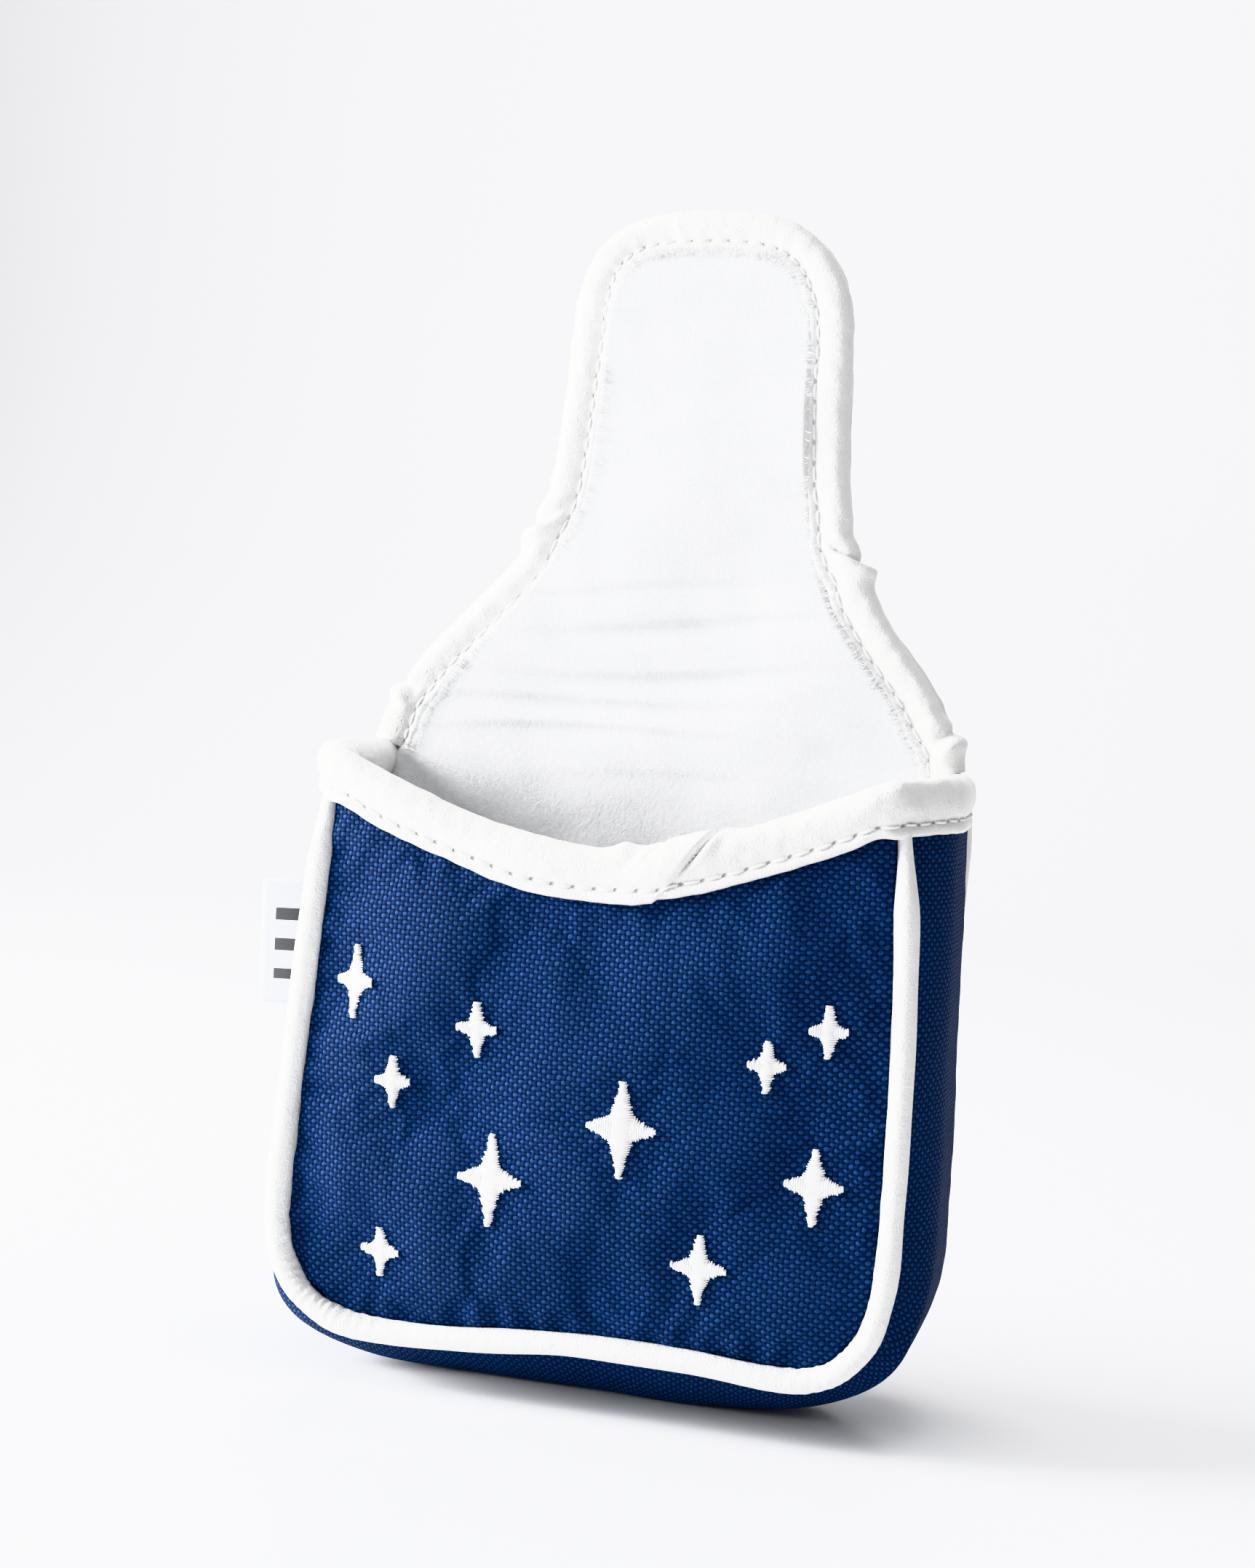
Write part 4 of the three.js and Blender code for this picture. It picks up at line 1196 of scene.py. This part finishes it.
def stitch_row(line, away, along):
    """Running stitches on a binding: each rises over the leather from one needle hole to the next."""
    threads = []
    first, last = math.ceil(along[0] / STITCH_PITCH), math.floor(along[-1] / STITCH_PITCH)
    for start in np.arange(first, last) * STITCH_PITCH:
        points = []
        for share in np.linspace(0, 1, 7):
            here = start + 0.35 + share * (STITCH_PITCH - 0.7)
            place = np.array([np.interp(here, along, line[:, k]) for k in range(3)])
            out = np.array([np.interp(here, along, away[:, k]) for k in range(3)])
            points.append(place + out * (0.5 * math.sin(math.pi * share) ** 0.6 - 0.28))
        threads.append(capsule(points, 0.26))
    return threads


mouth_rows = [stitch for line in mouth_lines for stitch in stitch_row(*line)]
mouth_stitches = make_threads("mouth_stitches", mouth_rows, thread)
flap_stitches = {}
for name, rows in flap_lines.items():
    threads = [t for row in rows for t in stitch_row(*row)]
    flap_stitches[name] = make_threads(name.replace("binding", "stitches"), threads, thread)
    flap_pile[name] = make_threads(name.replace("binding", "pile"), flap_pile[name], fleece, sides=3)


# ---- label

LABEL_LENGTH = 25.4
LABEL_HEIGHT = 26.0
LABEL_LOW = 65.0
LABEL_TURN = math.radians(-8)


def make_label():
    """A ribbon folded in two, sewn into the left rear seam."""
    ways = 40
    along = np.concatenate([np.linspace(1, LABEL_LENGTH, ways), np.linspace(LABEL_LENGTH, 1, ways)])
    side = np.concatenate([np.full(ways, -1.0), np.full(ways, 1.0)])
    pinch = np.sqrt(np.clip((LABEL_LENGTH - along) / 1.2, 0, 1))
    s, z = np.meshgrid(along, np.linspace(0, LABEL_HEIGHT, 36), indexing="ij")
    far = s / LABEL_LENGTH
    curl = 1.1 * np.sin(far * math.pi) + (z / LABEL_HEIGHT - 0.5) * far**2

    def face(extra):
        off = curl + (side * pinch)[:, None] * (0.28 + extra)
        x = BACK_SEAM[6][0] + s * math.cos(LABEL_TURN) + off * math.sin(LABEL_TURN)
        y = BACK_Y + s * math.sin(LABEL_TURN) - off * math.cos(LABEL_TURN)
        return in_space(-x, y, LABEL_LOW + z - 0.5 * far**2)

    return make_shell("side_label", face(0.22), face(0), label, in_space(s, z, 0 * z))


side_label = make_label()


# ---- bodies

def at_height(h):
    return tuple(float(v) * MM for v in spine(np.array(0.0), np.array(float(h)), np.array(0.0)))


def dress(piece, slot, *replaced):
    if replaced:
        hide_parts(*replaced)
    return piece


for piece, slot, replaced in (
    (front_canvas, "canvas_blue", ["front_panel"]),
    (front_foam, "foam", ["front_foam"]),
    (front_lining, "fleece_white", ["front_lining"]),
    (gusset_canvas, "canvas_blue", ["gusset_panel"]),
    (gusset_foam, "foam", ["gusset_foam"]),
    (gusset_lining, "fleece_white", ["gusset_lining"]),
    (front_piping, "leather_white", ["front_piping", "front_piping_cord"]),
    (rear_piping, "leather_white", ["rear_piping", "rear_piping_cord"]),
    (mouth_binding, "leather_white", ["mouth_binding"]),
    (mouth_stitches, "thread_white", []),
    (side_label, "label_white", ["side_tag"]),
):
    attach(dress(piece, slot, *replaced), "pouch")
for number, piece in enumerate(stars, 1):
    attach(dress(piece, "thread_white", f"star_{number:02d}"), "pouch")

ROOT_BEND = (at_height(-7), at_height(11))
TIP_BEND = (at_height(TIP_FOLD_H - 11), at_height(TIP_FOLD_H + 11))
WALL_NODES = {
    "canvas": ("canvas_blue", "panel"),
    "padding": ("foam", "foam"),
    "fleece": ("fleece_white", "lining"),
}
for (part, layer), piece in wall.items():
    slot, node = WALL_NODES[layer]
    if part == "back":
        dress(piece, slot, "back_" + node, "flap_base_" + node)
        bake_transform(piece)
    else:
        dress(piece, slot, "flap_tongue_" + node)
        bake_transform(piece)

BINDING_NODES = {
    "flap_binding_right_root": "flap_base_binding_right",
    "flap_binding_left_root": "flap_base_binding_left",
    "flap_binding_tongue": "flap_tongue_binding",
}
for name, node in BINDING_NODES.items():
    dress(flap_binding[name], "leather_white", node)
    dress(flap_stitches[name], "thread_white")
    dress(flap_pile[name], "fleece_white")
    for piece in (flap_binding[name], flap_stitches[name], flap_pile[name]):
        if name == "flap_binding_tongue":
            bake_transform(piece)
        else:
            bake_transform(piece)

magnet = metal_material()
for node in ("front_magnet", "flap_magnet"):
    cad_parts[node].data.materials.clear()
    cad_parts[node].data.materials.append(magnet)


# ---- studio

def make_stage():
    """A pale floor that sweeps up into the backdrop."""
    wide, back, rise, radius = 3000.0, 1500.0, 2500.0, 700.0
    profile = [(-1400.0, 0.0), (back - radius, 0.0)]
    for angle in np.linspace(0, math.pi / 2, 24)[1:]:
        profile.append((back - radius + radius * math.sin(angle), radius - radius * math.cos(angle)))
    profile.append((back, rise))
    points = [(x, y, z - 0.02) for y, z in profile for x in (-wide, wide)]
    faces = [[2 * i, 2 * i + 1, 2 * i + 3, 2 * i + 2] for i in range(len(profile) - 1)]
    paper = Nodes("floor").finish((0.86, 0.86, 0.87), Roughness=0.22, Specular_IOR_Level=0.12)
    make_mesh("studio_floor", points, faces, paper)


def add_area(name, place, aim, size, power):
    light = bpy.data.lights.new(name, "AREA")
    light.shape = "RECTANGLE"
    light.size, light.size_y = size
    light.energy = power
    lamp = bpy.data.objects.new(name, light)
    collection.objects.link(lamp)
    lamp.location = place
    lamp.rotation_euler = (Vector(aim) - Vector(place)).to_track_quat("-Z", "Y").to_euler()


def light_studio():
    world = bpy.data.worlds.new("studio")
    world.use_nodes = True
    sky = world.node_tree.nodes["Background"].inputs
    sky["Color"].default_value = (0.97, 0.975, 1.0, 1)
    sky["Strength"].default_value = 0.35
    bpy.context.scene.world = world
    middle = (0, 0, 0.11)
    add_area("key", (-0.97, -0.24, 0.38), middle, (0.5, 0.7), 55)
    add_area("top", (-0.1, -0.06, 1.0), middle, (1.2, 0.9), 7.5)
    add_area("backdrop", (-0.5, 0.7, 1.6), (-0.6, 1.5, 0.6), (1.6, 0.5), 9)


def add_camera():
    """The camera stands low, a little to the right, and leans slightly."""
    camera = bpy.data.cameras.new("camera")
    camera.lens = 46.75
    camera.sensor_width = 36
    camera.sensor_fit = "AUTO"
    camera.clip_start = 0.01
    camera.clip_end = 20
    eye = bpy.data.objects.new("camera", camera)
    collection.objects.link(eye)
    place = Vector((107.244, -372.959, 130.178)) * MM
    forward = Vector((-0.27880, 0.95965, -0.03664)).normalized()
    right = Vector((0.95823, 0.28052, 0.05578)).normalized()
    up = right.cross(forward)
    rotation = Matrix((right, up, -forward)).transposed()
    eye.matrix_world = Matrix.Translation(place) @ rotation.to_4x4()
    bpy.context.scene.camera = eye


make_stage()
light_studio()
add_camera()
bpy.context.scene.view_settings.view_transform = "Khronos PBR Neutral"
